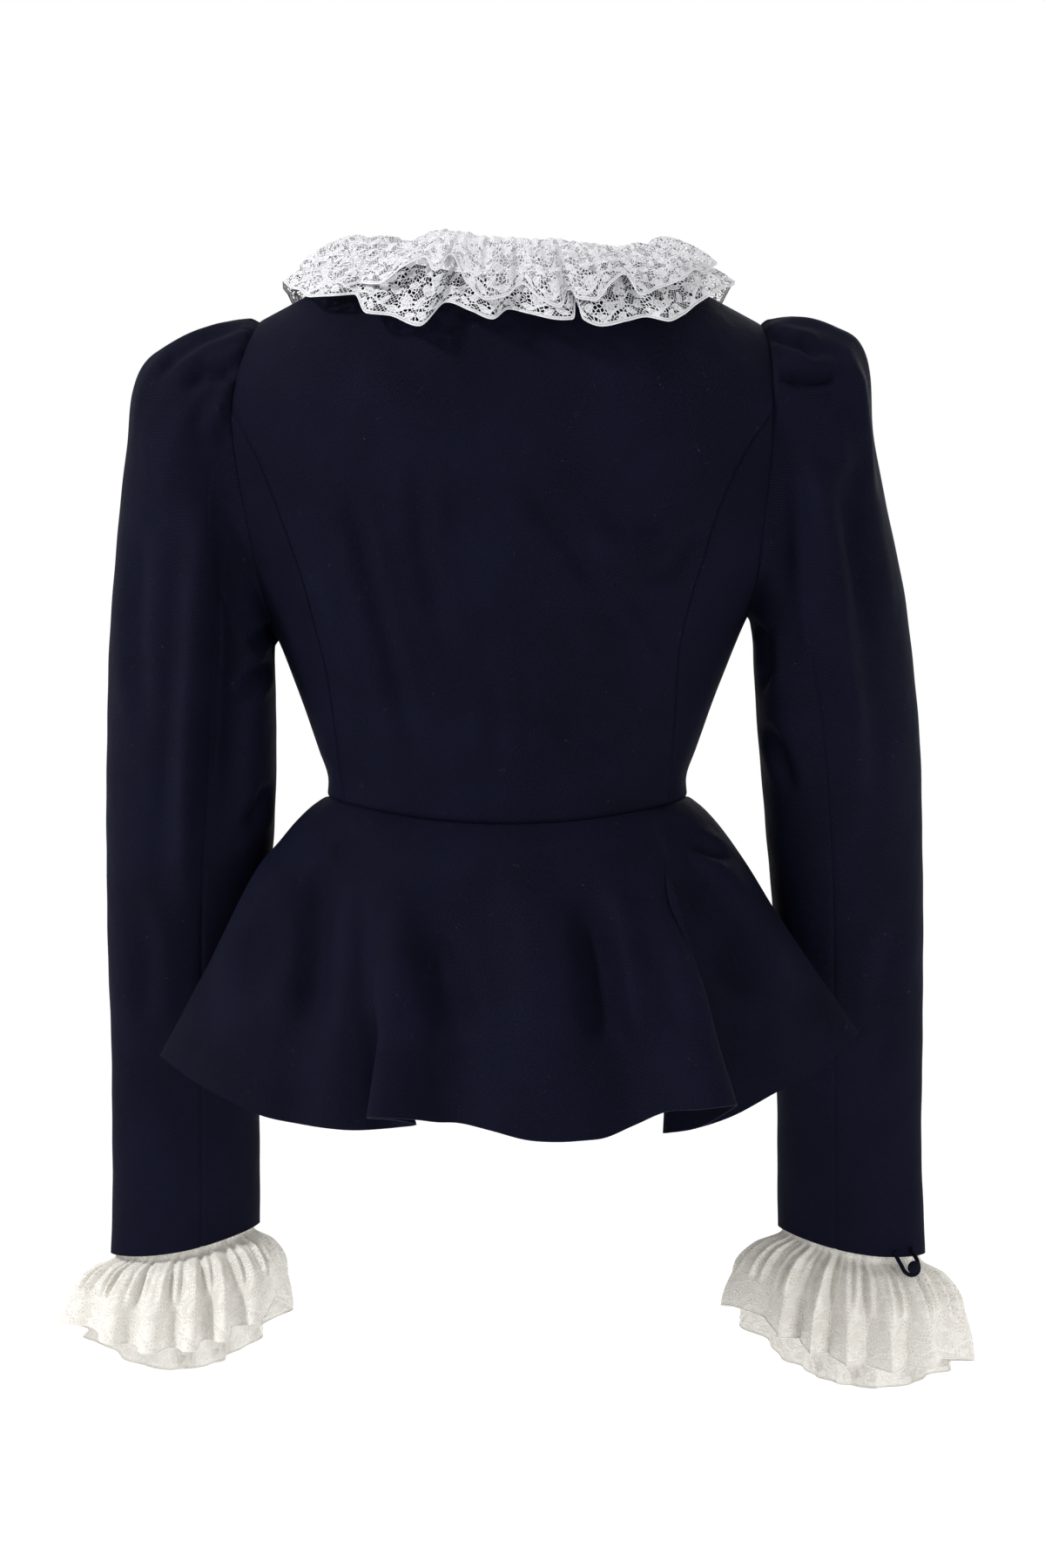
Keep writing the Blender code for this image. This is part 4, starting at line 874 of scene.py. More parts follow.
@dataclass(frozen=True)
class WoolTwill:
    """Brushed wool twill, woven fine and pressed: it has no shine, a soft bloom along turned edges from
    its nap, a faint slant of the twill, and a few pale fibres that cling to it."""

    name: str = "navy_wool_twill"
    shade: str = "#070710"
    tint: str = "#111222"
    # The real twill has ridges 0.5 mm apart, drawn coarser so that it shows
    ridge: float = 1.3
    fibre: float = 1.2
    cloud: float = 55.0
    crumple: float = 30.0
    roughness: float = 0.68
    specular: float = 0.02
    sheen: float = 0.012
    bloom: str = "#8d93b8"
    fibre_shade: str = "#c9c6bd"
    # Height in metres and strength of the weave and of the soft rumples
    weave_relief: tuple[float, float] = (0.00035, 0.55)
    rumple_relief: tuple[float, float] = (0.0035, 0.6)

    def make(self) -> Material:
        """Builds the material on the cloth's own lengths in metres."""
        made, tree, shader = new_material(self.name)
        place = add(tree, "ShaderNodeUVMap", uv_map="UVMap")
        lengths = add(tree, "ShaderNodeVectorMath", {0: place, 3: 1000.0}, operation="SCALE")
        # A band of Blender's wave texture is a fifth of pi wide
        slant = add(tree, "ShaderNodeTexWave",
                    {"Vector": lengths, "Scale": math.pi / (5.0 * self.ridge * math.sqrt(2)),
                     "Distortion": 0.9, "Detail": 2.0, "Detail Scale": 0.6},
                    wave_type="BANDS", bands_direction="DIAGONAL", wave_profile="SIN", output="Fac")
        fibres = add(tree, "ShaderNodeTexNoise",
                     {"Vector": lengths, "Scale": 1 / self.fibre, "Detail": 3.0, "Roughness": 0.7},
                     noise_dimensions="2D", output="Fac")
        solid = add(tree, "ShaderNodeTexCoord", output="Object")
        clouds = add(tree, "ShaderNodeTexNoise",
                     {"Vector": solid, "Scale": 1000 / self.cloud, "Detail": 3.0, "Roughness": 0.55},
                     output="Fac")
        mixed = add(tree, "ShaderNodeMath", {0: clouds, 1: 0.4, 2: fibres}, operation="MULTIPLY_ADD")
        mixed = add(tree, "ShaderNodeMath", {0: slant, 1: 0.3, 2: mixed}, operation="MULTIPLY_ADD")
        share = add(tree, "ShaderNodeMapRange", {0: mixed, 1: 0.6, 2: 1.1, 3: 0.0, 4: 1.0})
        # Sockets 6 and 7 of a mix node are its two colours, and its output 2 is the mixed colour
        cloth = add(tree, "ShaderNodeMix", {0: share, 6: linear(self.shade), 7: linear(self.tint)},
                    data_type="RGBA", output=2)
        bent = add(tree, "ShaderNodeTexNoise", {"Vector": lengths, "Scale": 0.35, "Detail": 1.0},
                   noise_dimensions="2D", output="Color")
        shifted = add(tree, "ShaderNodeVectorMath", {0: bent, 1: (9.0, 9.0, 0.0), 2: lengths},
                      operation="MULTIPLY_ADD")
        thin = add(tree, "ShaderNodeMapping", {"Vector": shifted, "Rotation": (0.0, 0.0, 0.7),
                                               "Scale": (0.018, 0.075, 1.0)})
        spots = add(tree, "ShaderNodeTexVoronoi", {"Vector": thin, "Scale": 1.0, "Randomness": 1.0},
                    voronoi_dimensions="2D", output="Distance")
        fleck = add(tree, "ShaderNodeMapRange", {0: spots, 1: 0.004, 2: 0.011, 3: 0.09, 4: 0.0})
        dressed = add(tree, "ShaderNodeMix", {0: fleck, 6: cloth, 7: linear(self.fibre_shade)},
                      data_type="RGBA", output=2)
        tree.links.new(dressed, shader.inputs["Base Color"])
        height = add(tree, "ShaderNodeMath", {0: slant, 1: 0.45, 2: fibres}, operation="MULTIPLY_ADD")
        long = add(tree, "ShaderNodeMapping", {"Vector": solid, "Scale": (1.0, 1.0, 0.42)})
        crumple = add(tree, "ShaderNodeTexNoise",
                      {"Vector": long, "Scale": 1000 / self.crumple, "Detail": 2.5, "Roughness": 0.5},
                      output="Fac")
        worn = add(tree, "ShaderNodeBump", {"Height": crumple, "Strength": self.rumple_relief[1],
                                            "Distance": self.rumple_relief[0]})
        bump = add(tree, "ShaderNodeBump", {"Height": height, "Strength": self.weave_relief[1],
                                            "Distance": self.weave_relief[0], "Normal": worn})
        tree.links.new(bump, shader.inputs["Normal"])
        shader.inputs["Roughness"].default_value = self.roughness
        shader.inputs["Specular IOR Level"].default_value = self.specular
        shader.inputs["Sheen Weight"].default_value = self.sheen
        shader.inputs["Sheen Roughness"].default_value = 0.45
        shader.inputs["Sheen Tint"].default_value = linear(self.bloom)
        return made


@dataclass(frozen=True)
class CottonLace:
    """Machine made cotton lace: matt thread with no shine, open net that shows what is behind, closely
    worked leaves and flowers outlined by a thicker thread, and larger holes beside them."""

    name: str
    shade: str
    tint: str
    # Pitch of the net on the slant, a little coarser than the real one so that it shows
    mesh: float = 2.8
    thread: float = 0.3
    eyelet: float = 3.0
    # Net that lies doubled in the gathers fills its holes part way, to this opacity, with a painted shade
    # colour that stands for the shaded net behind
    veil: float = 0.0
    # Painted shade: the darker colour laid into the holes
    painted_hole_shade: str = "#b9b9bd"
    outline: float = 0.45
    roughness: float = 0.8

    def make(self) -> Material:
        """Builds the material on the lace's lengths and on its worked and open fields."""
        made, tree, shader = new_material(self.name)
        place = add(tree, "ShaderNodeUVMap", uv_map="UVMap")
        lengths = add(tree, "ShaderNodeVectorMath", {0: place, 3: 1000.0}, operation="SCALE")
        parts = add(tree, "ShaderNodeSeparateXYZ", {0: lengths}).node.outputs
        edges = [share * self.thread / self.mesh * math.sqrt(2) for share in (0.4, 0.7)]
        threads = []
        for operation in ("ADD", "SUBTRACT"):
            slanted = add(tree, "ShaderNodeMath", {0: parts[0], 1: parts[1]}, operation=operation)
            count = add(tree, "ShaderNodeMath", {0: slanted, 1: 1 / self.mesh}, operation="MULTIPLY")
            away = add(tree, "ShaderNodeMath", {0: count, 1: 0.5}, operation="PINGPONG")
            threads.append(add(tree, "ShaderNodeMapRange",
                               {0: away, 1: edges[0], 2: edges[1], 3: 1.0, 4: 0.0},
                               interpolation_type="SMOOTHSTEP"))
        net = add(tree, "ShaderNodeMath", {0: threads[0], 1: threads[1]}, operation="MAXIMUM")
        cells = add(tree, "ShaderNodeTexVoronoi", {"Vector": lengths, "Scale": 1 / self.eyelet,
                                                   "Randomness": 0.75},
                    voronoi_dimensions="2D", feature="DISTANCE_TO_EDGE", output="Distance")
        bars = add(tree, "ShaderNodeMapRange", {0: cells, 1: 0.09, 2: 0.16, 3: 1.0, 4: 0.0},
                   interpolation_type="SMOOTHSTEP")
        open_field = add(tree, "ShaderNodeAttribute", attribute_name="open_work", output="Fac")
        opened = add(tree, "ShaderNodeMapRange", {0: open_field, 1: -0.3, 2: 0.3, 3: 0.0, 4: 1.0})
        ground = add(tree, "ShaderNodeMix", {0: opened, 2: net, 3: bars}, data_type="FLOAT")
        worked = add(tree, "ShaderNodeAttribute", attribute_name="close_work", output="Fac")
        inside = add(tree, "ShaderNodeMapRange", {0: worked, 1: -0.15, 2: 0.25, 3: 0.0, 4: 1.0})
        rows = add(tree, "ShaderNodeMath", {0: parts[0], 1: 1.05}, operation="MULTIPLY")
        rows = add(tree, "ShaderNodeMath", {0: rows, 1: 0.5}, operation="PINGPONG")
        weave = add(tree, "ShaderNodeMapRange", {0: rows, 1: 0.0, 2: 0.34, 3: 0.3, 4: 0.92})
        solid = add(tree, "ShaderNodeMath", {0: inside, 1: weave}, operation="MULTIPLY")
        rim = add(tree, "ShaderNodeMath", {0: worked}, operation="ABSOLUTE")
        cord = add(tree, "ShaderNodeMapRange",
                   {0: rim, 1: self.outline * 0.6, 2: self.outline, 3: 1.0, 4: 0.0},
                   interpolation_type="SMOOTHSTEP")
        alpha = add(tree, "ShaderNodeMath", {0: ground, 1: solid}, operation="MAXIMUM")
        alpha = add(tree, "ShaderNodeMath", {0: alpha, 1: cord}, operation="MAXIMUM")
        filled = add(tree, "ShaderNodeMapRange", {0: alpha, 1: 0.0, 2: 1.0, 3: self.veil, 4: 1.0})
        tree.links.new(filled, shader.inputs["Alpha"])
        grain = add(tree, "ShaderNodeTexNoise", {"Vector": lengths, "Scale": 0.9, "Detail": 3.0},
                    noise_dimensions="2D", output="Fac")
        thread = add(tree, "ShaderNodeMix", {0: grain, 6: linear(self.shade), 7: linear(self.tint)},
                     data_type="RGBA", output=2)
        # Holes take the painted shade colour and threads keep their own colour
        shaded = add(tree, "ShaderNodeMix", {0: alpha, 6: linear(self.painted_hole_shade), 7: thread},
                     data_type="RGBA", output=2)
        tree.links.new(shaded, shader.inputs["Base Color"])
        height = cord
        for part, rise in ((solid, 0.5), (ground, 0.35), (grain, 0.4)):
            height = add(tree, "ShaderNodeMath", {0: part, 1: rise, 2: height}, operation="MULTIPLY_ADD")
        bump = add(tree, "ShaderNodeBump", {"Height": height, "Strength": 0.5, "Distance": 0.0004})
        tree.links.new(bump, shader.inputs["Normal"])
        shader.inputs["Roughness"].default_value = self.roughness
        shader.inputs["Specular IOR Level"].default_value = 0.3
        shader.inputs["Sheen Weight"].default_value = 0.15
        return made


@dataclass(frozen=True)
class TwistedThread:
    """Thick cotton thread laid along a lace edge: matt, with the small slanting ridges of its twist."""

    name: str
    shade: str
    shadow: str = "#b4b3b2"
    twist: float = 1.2

    def make(self) -> Material:
        """Builds the material on the piece's own coordinates."""
        made, tree, shader = new_material(self.name)
        solid = add(tree, "ShaderNodeTexCoord", output="Object")
        ridges = add(tree, "ShaderNodeTexWave",
                     {"Vector": solid, "Scale": 1000 * math.pi / (5 * self.twist), "Distortion": 1.5},
                     wave_type="BANDS", bands_direction="DIAGONAL", output="Fac")
        grain = add(tree, "ShaderNodeTexNoise",
                    {"Vector": solid, "Scale": 1100.0, "Detail": 2.0}, output="Fac")
        height = add(tree, "ShaderNodeMath", {0: ridges, 1: 0.6, 2: grain}, operation="MULTIPLY_ADD")
        bump = add(tree, "ShaderNodeBump", {"Height": height, "Strength": 0.6, "Distance": 0.0003})
        tree.links.new(bump, shader.inputs["Normal"])
        ramp = add(tree, "ShaderNodeValToRGB", {"Fac": grain})
        ramp.node.color_ramp.elements[0].color = linear(self.shadow)
        ramp.node.color_ramp.elements[1].color = linear(self.shade)
        ramp.node.color_ramp.elements[1].position = 0.6
        tree.links.new(ramp, shader.inputs["Base Color"])
        shader.inputs["Roughness"].default_value = 0.8
        return made


@dataclass(frozen=True)
class StudioPaper:
    """Seamless studio paper: matt and nearly white, with a very faint tooth."""

    name: str = "studio_paper"
    shade: str = "#f7f7f7"
    glow: float = 0.26

    def make(self) -> Material:
        """Builds the material."""
        made, tree, shader = new_material(self.name)
        grain = add(tree, "ShaderNodeTexNoise", {"Scale": 120.0, "Detail": 2.0}, output="Fac")
        bump = add(tree, "ShaderNodeBump", {"Height": grain, "Strength": 0.03, "Distance": 0.001})
        tree.links.new(bump, shader.inputs["Normal"])
        shader.inputs["Base Color"].default_value = linear(self.shade)
        shader.inputs["Roughness"].default_value = 0.95
        shader.inputs["Emission Color"].default_value = linear(self.shade)
        shader.inputs["Emission Strength"].default_value = self.glow
        return made


def unpick() -> None:
    """Selects nothing."""
    for other in bpy.context.selected_objects:
        other.select_set(False)


def pick(made: Object) -> None:
    """Selects one object and nothing else."""
    unpick()
    made.select_set(True)
    bpy.context.view_layer.objects.active = made


def work_on_all(made: Object, operator: Callable, **settings) -> None:
    """Runs a mesh operator on the whole of a piece."""
    pick(made)
    bpy.ops.object.mode_set(mode="EDIT")
    bpy.ops.mesh.select_all(action="SELECT")
    operator(**settings)
    bpy.ops.object.mode_set(mode="OBJECT")


def smooth(made: Object, angle: float) -> None:
    """Shades a piece smooth but for edges sharper than an angle, degrees."""
    pick(made)
    bpy.ops.object.shade_smooth_by_angle(angle=math.radians(angle))


def dress(made: Object, finish: Material) -> None:
    """Gives a piece one material."""
    made.data.materials.clear()
    made.data.materials.append(finish)


def lay_flat(made: Object, places: Array) -> None:
    """Writes a piece's flat coordinates, one place in metres for each vertex."""
    mesh = made.data
    corners = np.empty(len(mesh.loops), np.int32)
    mesh.loops.foreach_get("vertex_index", corners)
    mesh.uv_layers["UVMap"].data.foreach_set("uv", places[corners].astype(np.float32).ravel())


def stand_for(made: Object, node: str) -> None:
    """Puts a piece in the place of its solid."""
    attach(made, "root")
    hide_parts(node)
    LOG.info("%s stands for %s", made.name, node)


def apply_modifier(made: Object, kind: str, **settings) -> None:
    """Adds a modifier to an object and applies it."""
    pick(made)
    step = made.modifiers.new(kind.lower(), kind)
    for name, value in settings.items():
        setattr(step, name, value)
    bpy.ops.object.modifier_apply(modifier=step.name)


def lay_out(points: Array) -> Array:
    """Lengths across and down a grid of cloth, as its own flat coordinates, mm."""
    across = run_lengths(points, 1)
    middle = points.shape[1] // 2
    down = run_lengths(points, 0)[:, middle:middle + 1]
    return np.stack(np.broadcast_arrays(across - across[:, middle:middle + 1], down), axis=-1)


def sew(name: str, points: Array, outward: Array, finish: Material,
        wall: float = 0.0, flat: Array | None = None, fields: dict | None = None,
        closed: bool = False) -> Object:
    """Makes one piece of cloth from a grid of points.

    Args:
        name: name of the piece.
        points: rows and columns of points, mm.
        outward: the outward direction at each point.
        finish: its material.
        wall: thickness, mm, or 0 for a single sheet of lace.
        flat: coordinates on the flat cloth, mm; worked out from the lengths if left out.
        fields: named values at each point for the material.
        closed: joins the last column to the first.

    Returns:
        The piece, with its place in its mesh.
    """
    rows, columns = points.shape[:2]
    unpick()
    bpy.ops.mesh.primitive_grid_add(x_subdivisions=columns - 1, y_subdivisions=rows - 1, size=1.0,
                                    calc_uvs=True)
    made = bpy.context.active_object
    made.name = name
    mesh = made.data
    mesh.name = name
    mesh.vertices.foreach_set("co", (points * MM).astype(np.float32).ravel())
    for label, values in (fields or {}).items():
        field = mesh.attributes.new(label, "FLOAT", "POINT")
        field.data.foreach_set("value", values.astype(np.float32).ravel())
    flat = lay_out(points) if flat is None else flat
    lay_flat(made, flat.reshape(-1, 2) * MM)
    mesh.update()
    facing = np.empty(len(mesh.vertices) * 3, np.float32)
    mesh.vertex_normals.foreach_get("vector", facing)
    if facing @ outward.ravel() < 0:
        work_on_all(made, bpy.ops.mesh.flip_normals)
    if closed:
        work_on_all(made, bpy.ops.mesh.remove_doubles, threshold=1e-6)
    dress(made, finish)
    if wall:
        apply_modifier(made, "SOLIDIFY", thickness=wall * MM, offset=0.0, use_even_offset=False,
                       use_rim=True)
        smooth(made, SMOOTH_ANGLE)
    else:
        pick(made)
        bpy.ops.object.shade_smooth()
    LOG.info("%s: %d vertices", name, len(made.data.vertices))
    return made


def tube(name: str, route: Array, radius: float, finish: Material, closed: bool = False,
         resolution: int = 1) -> Object:
    """Makes a round thread or cord along a route.

    Args:
        name: name of the piece.
        route: its points, mm.
        radius: its radius, mm.
        finish: its material.
        closed: joins its ends.
        resolution: Blender's bevel resolution.

    Returns:
        The piece as a mesh.
    """
    line = bpy.data.curves.new(name, "CURVE")
    line.dimensions = "3D"
    line.bevel_depth = radius * MM
    line.bevel_resolution = resolution
    line.use_fill_caps = not closed
    spline = line.splines.new("POLY")
    spline.points.add(len(route) - 1)
    spline.points.foreach_set("co", np.hstack([route * MM, np.ones((len(route), 1))]).ravel())
    spline.use_cyclic_u = closed
    made = bpy.data.objects.new(name, line)
    bpy.context.scene.collection.objects.link(made)
    pick(made)
    bpy.ops.object.convert(target="MESH")
    made = bpy.context.active_object
    dress(made, finish)
    work_on_all(made, bpy.ops.mesh.remove_doubles, threshold=1e-7)
    work_on_all(made, bpy.ops.mesh.normals_make_consistent, inside=False)
    smooth(made, SMOOTH_ANGLE)
    return made


def declare(made: Object, node: str,
            extras: list | None = None) -> None:
    """Puts a piece of cloth in the place of its solid, with the separate pieces on it.

    Args:
        made: the piece.
        node: the solid that it stands for.
        extras: separate pieces on it.
    """
    stand_for(made, node)
    for extra in extras or []:
        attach(extra, "root")


@dataclass
class Bodice:
    """Back, side backs, side fronts and fronts, sewn with princess seams."""

    finish: Material
    left: Seams
    right: Seams
    fineness: int = 7
    waviness: float = 0.5

    def panel(self, name: str, low: list, high: list, left: list, right: list, sign: float) -> None:
        """Makes one panel between four edges.

        Args:
            name: the panel's node.
            low: its waist edge.
            high: its upper edge.
            left: its first side edge.
            right: its second side edge.
            sign: side of the body that it lies on.
        """
        columns = sum(spans for _, spans in low)
        rows = sum(spans for _, spans in left)
        width = BACK_WIDTH if columns == BACK_COLUMNS else SIDE_WIDTH
        across = with_edges(columns * self.fineness, width)
        up = with_edges(rows * self.fineness, BODICE_HEIGHT)
        grid = patch(sample(low, across * columns), sample(high, across * columns),
                     sample(left, up * rows), sample(right, up * rows), across, up)
        turn = sign * grid[..., 0]
        points = body_point(turn, grid[..., 1])
        outward = body_normal(turn, grid[..., 1])
        sunk = seam_dip(points, (True, True, True, True)) + crease_depth(points, outward, BODICE_CREASES)
        climbed = run_lengths(points, 0)
        quiet = np.clip((climbed[-1:] - climbed) / PANEL_QUIET, 0.0, 1.0)
        points = points + outward * (unevenness(points, self.waviness) * quiet - sunk)[..., None]
        made = sew(name + "_cloth", points, outward, self.finish, CLOTH_WALL)
        declare(made, name)

    def build(self) -> None:
        """Makes the seven panels."""
        neck = path_by_distance(NECK_BACK, 0.0, NECK_POINT)
        neck_spans = (BACK_COLUMNS - 2 * SHOULDER_COLUMNS) // 2
        right_half = reverse(self.right.shoulder(SHOULDER_COLUMNS)) + [(neck[::-1], neck_spans)]
        high = mirrored(right_half) + [(neck, neck_spans)] + self.left.shoulder(SHOULDER_COLUMNS)
        edge_left = self.left.princess_back + self.left.arm_back_up
        edge_right = mirrored(self.right.princess_back + self.right.arm_back_up)
        low = [(self.straight(edge_right[0][0][0], edge_left[0][0][0]), BACK_COLUMNS)]
        self.panel("back", low, high, edge_right, edge_left, 1.0)
        for side, label in ((self.left, "left"), (self.right, "right")):
            sign = side.side.value
            for name, princess, armhole, holds in (
                ("side_back_", side.princess_back, side.arm_back_low, ["back", "side_front_" + label]),
                ("side_front_", side.princess_front, side.arm_front_low,
                 ["front_" + label, "side_back_" + label]),
            ):
                waist = self.straight(princess[0][0][0], side.side_seam[0][0][0])
                self.panel(name + label, [(waist, SIDE_TOP_SPANS)], armhole, princess, side.side_seam,
                           sign)
            level = np.linspace(WAIST, SHELF, PATH_STEPS)
            edge = np.stack([np.full(PATH_STEPS, math.pi), level], axis=1)
            front_neck = path_by_distance(NECK_FRONT, 0.0, NECK_POINT, True)
            neck_rows = PRINCESS_SPANS + ARMHOLE_SPANS - FRONT_EDGE_SPANS
            inner = [(edge, FRONT_EDGE_SPANS), (front_neck, neck_rows)]
            outer = side.princess_front + side.arm_front_up
            low = [(self.straight(edge[0], outer[0][0][0]), FRONT_COLUMNS)]
            self.panel("front_" + label, low, side.shoulder(FRONT_COLUMNS, True), inner, outer,
                       sign)

    def straight(self, first: Array, last: Array) -> Array:
        """Dense path of angle and height between two ends."""
        part = np.linspace(0.0, 1.0, PATH_STEPS)[:, None]
        return first * (1 - part) + last * part


@dataclass
class Peplum:
    """Circular peplum in a back and two fronts, falling in soft flutes."""

    finish: Material
    waviness: float = 0.5

    def mean_hem(self, angles: Array) -> Array:
        """Mean line of the hem without its flutes."""
        dense = np.linspace(-180.0, 180.0, 720, endpoint=False)
        hem = through(HEM, dense)[..., :3]
        apart = (angles[:, None] - dense[None] + 180.0) % 360.0 - 180.0
        weight = np.exp(-0.5 * (apart / HEM_SMOOTHING) ** 2)
        return (weight[..., None] * hem[None]).sum(1) / weight.sum(1)[:, None]

    def grid(self, angles: Array, drops: Array) -> Array:
        """Points of the peplum, a row per drop and a column per angle, mm."""
        top = body_point(np.radians(angles), np.full(len(angles), WAIST))
        hem = through(HEM, angles)
        mean = self.mean_hem(angles)
        rows = []
        for drop in drops:
            out = float(through(FLARE, np.array(drop))[..., 0])
            flute = drop ** hem[:, 3:4]
            point = top + (mean - top) * out + (hem[:, :3] - mean) * flute
            point[:, 2] = top[:, 2] + (mean[:, 2] - top[:, 2]) * drop
            point[:, 2] += (hem[:, 2] - mean[:, 2]) * flute[:, 0]
            rows.append(point)
        return np.array(rows)

    def columns(self, start: float, end: float, count: int) -> Array:
        """Angles between two ends, even along the hem and close at the seams."""
        dense = np.linspace(start, end, 2000)
        length = path_lengths(through(HEM, dense)[..., :3])
        return np.interp(with_edges(count, length[-1]) * length[-1], length, dense)

    def build(self) -> None:
        """Makes the three pieces."""
        drops = with_edges(PEPLUM_ROWS, PEPLUM_LENGTH, high=False)
        for name, start, end, count, holds in (
            ("peplum_back", -PEPLUM_SEAM, PEPLUM_SEAM, PEPLUM_BACK_COLUMNS, ["back"]),
            ("peplum_front_left", PEPLUM_SEAM, 180.0, PEPLUM_FRONT_COLUMNS, ["front_left"]),
            ("peplum_front_right", -180.0, -PEPLUM_SEAM, PEPLUM_FRONT_COLUMNS, ["front_right"]),
        ):
            points = self.grid(self.columns(start, end, count), drops)
            outward = grid_normals(points)
            outward *= np.sign(((points - np.array(PEPLUM_MIDDLE)) * outward).sum())
            sunk = seam_dip(points, (True, True, True, False))
            sunk += crease_depth(points, outward, PEPLUM_CREASES)
            quiet = np.clip(run_lengths(points, 0) / PEPLUM_QUIET, 0.0, 1.0)
            points = points + outward * (unevenness(points, self.waviness) * quiet - sunk)[..., None]
            made = sew(name + "_cloth", points, outward, self.finish, CLOTH_WALL)
            declare(made, name)


@dataclass
class Sleeve:
    """One sleeve in a top and an under piece, gathered at its head and open at the wrist."""

    side: Side
    seams: Seams
    finish: Material
    row_steps: int = 170
    column_fineness: int = 5
    waviness: float = 0.7

    @property
    def label(self) -> str:
        """Name of the side."""
        return "left" if self.side is Side.LEFT else "right"

    @property
    def table(self) -> tuple:
        """Rings of this sleeve."""
        return SLEEVE_LEFT if self.side is Side.LEFT else SLEEVE_RIGHT

    def angles(self, at: Array) -> tuple[Array, Array]:
        """Positions round the arm, degrees: by length at the armhole, and by the seams at the wrist."""
        dense = np.linspace(0.0, RING_COUNT, 721)
        ring = self.seams.armhole(dense)
        length = path_lengths(ring)
        bottom = np.interp(UNDERARM_INDEX, dense, length)
        here = np.interp(at, dense, length)
        angle = np.where(at <= UNDERARM_INDEX, 180.0 * here / bottom,
                         180.0 + 180.0 * (here - bottom) / (length[-1] - bottom))
        wanted = np.interp(at, [0, HINDARM_INDEX, FOREARM_INDEX, RING_COUNT],
                           [0.0, HINDARM_ANGLE, FOREARM_ANGLE, 360.0])
        return angle, wanted

    def rings(self, at: Array) -> Array:
        """Rings of the table at places round the arm, with the armhole first, mm."""
        ring = self.seams.armhole(at)
        angle, wanted = self.angles(at)
        top = self.seams.armhole(np.array([0.0]))[0]
        bottom = self.seams.armhole(np.array([float(UNDERARM_INDEX)]))[0]
        rows = [ring]
        for number, (xo, zo, xi, zi, y, depth, round_share) in enumerate(self.table):
            blend = min(1.0, (number + 1) / HEAD_RINGS)
            turn = np.radians(angle * (1 - blend) + wanted * blend)
            outer = np.array([self.side.value * xo, y, zo])
            inner = np.array([self.side.value * xi, y, zi])
            oval = ((outer + inner) / 2 + np.cos(turn)[:, None] * (outer - inner)[None] / 2
                    + np.sin(turn)[:, None] * np.array([0.0, depth, 0.0])[None])
            weight = ((1 + np.cos(np.radians(angle))) / 2)[:, None]
            moved = ring + weight * (outer - top)[None] + (1 - weight) * (inner - bottom)[None]
            points = moved * (1 - round_share) + oval * round_share
            if number == len(self.table) - 1:
                points[:, 2] -= CUFF_EDGE_DROP * np.sin(turn) ** 2
            rows.append(points)
        return np.array(rows)

    def gathers(self, signed: Array, share: float) -> Array:
        """Height of the sleeve head's gathers and small tucks, mm."""
        height = np.zeros_like(signed)
        table = GATHERS_LEFT if self.side is Side.LEFT else GATHERS_RIGHT
        for middle, end, rise in table:
            fade = max(0.0, 1.0 - share / end)
            begin = min(1.0, GATHER_START + share * GATHER_GROWTH)
            height += rise * fade * begin * np.exp(-(((signed - middle) / GATHER_WIDTH) ** 2))
        fade = max(0.0, 1.0 - share / TUCK_END) ** 1.5
        for number, middle in enumerate(TUCK_PLACES):
            rise = TUCK_RISE * (1.0 + waves(TUCK_UNEVEN, number))
            height += rise * fade * np.exp(-(((signed - middle) / TUCK_WIDTH) ** 2))
        return height

    def fine_grid(self) -> tuple[Array, Array, Array]:
        """Fine points and outward directions of the sleeve.

        Returns:
            Points, directions, and the columns' places round the arm.
        """
        close = np.array(SLEEVE_SEAM_COLUMNS)
        at = np.linspace(0.0, RING_COUNT, RING_COUNT * self.column_fineness + 1)
        extra = [seam + sign * close for seam in (HINDARM_INDEX, FOREARM_INDEX) for sign in (-1, 1)]
        at = np.unique(np.round(np.concatenate([at, *extra]), 4))
        coarse = self.rings(at)
        keys = np.arange(len(coarse), dtype=float)
        last = keys[-1]
        rows = np.unique(np.round(np.concatenate([
            np.linspace(0.0, 1.0, HEAD_ROW_COUNT), np.linspace(1.0, last, self.row_steps),
            HEAD_ROWS]), 4))
        table = np.hstack([keys[:, None], coarse.reshape(len(coarse), -1)])
        points = through(table, rows).reshape(len(rows), len(at), 3)
        outward = grid_normals(points)
        centre = points.mean(axis=1, keepdims=True)
        outward *= np.sign(((points - centre) * outward).sum(-1, keepdims=True))
        outward[0] = outward[1]
        angle, wanted = self.angles(at)
        lift = np.zeros(points.shape[:2])
        for number, row in enumerate(rows):
            blend = min(1.0, row / HEAD_RINGS)
            turn = angle * (1 - blend) + wanted * blend
            signed = (turn + 180.0) % 360.0 - 180.0
            lift[number] = self.gathers(signed, row / last) * min(1.0, row / GATHER_RISE)
            roll = (1.0 - math.exp(-((row / ROLL_RISE) ** 2))) * math.exp(-((row / ROLL_FADE) ** 2))
            lift[number] += HEAD_ROLL * roll
        quiet = np.clip(rows / SLEEVE_QUIET, 0.0, 1.0)[:, None]
        creased = np.clip(rows / SLEEVE_CREASE_START, 0.0, 1.0)[:, None]
        lift += unevenness(points, self.waviness) * quiet
        lift -= crease_depth(points, outward, SLEEVE_CREASES) * creased
        points = points + outward * lift[..., None]
        return points, outward, at

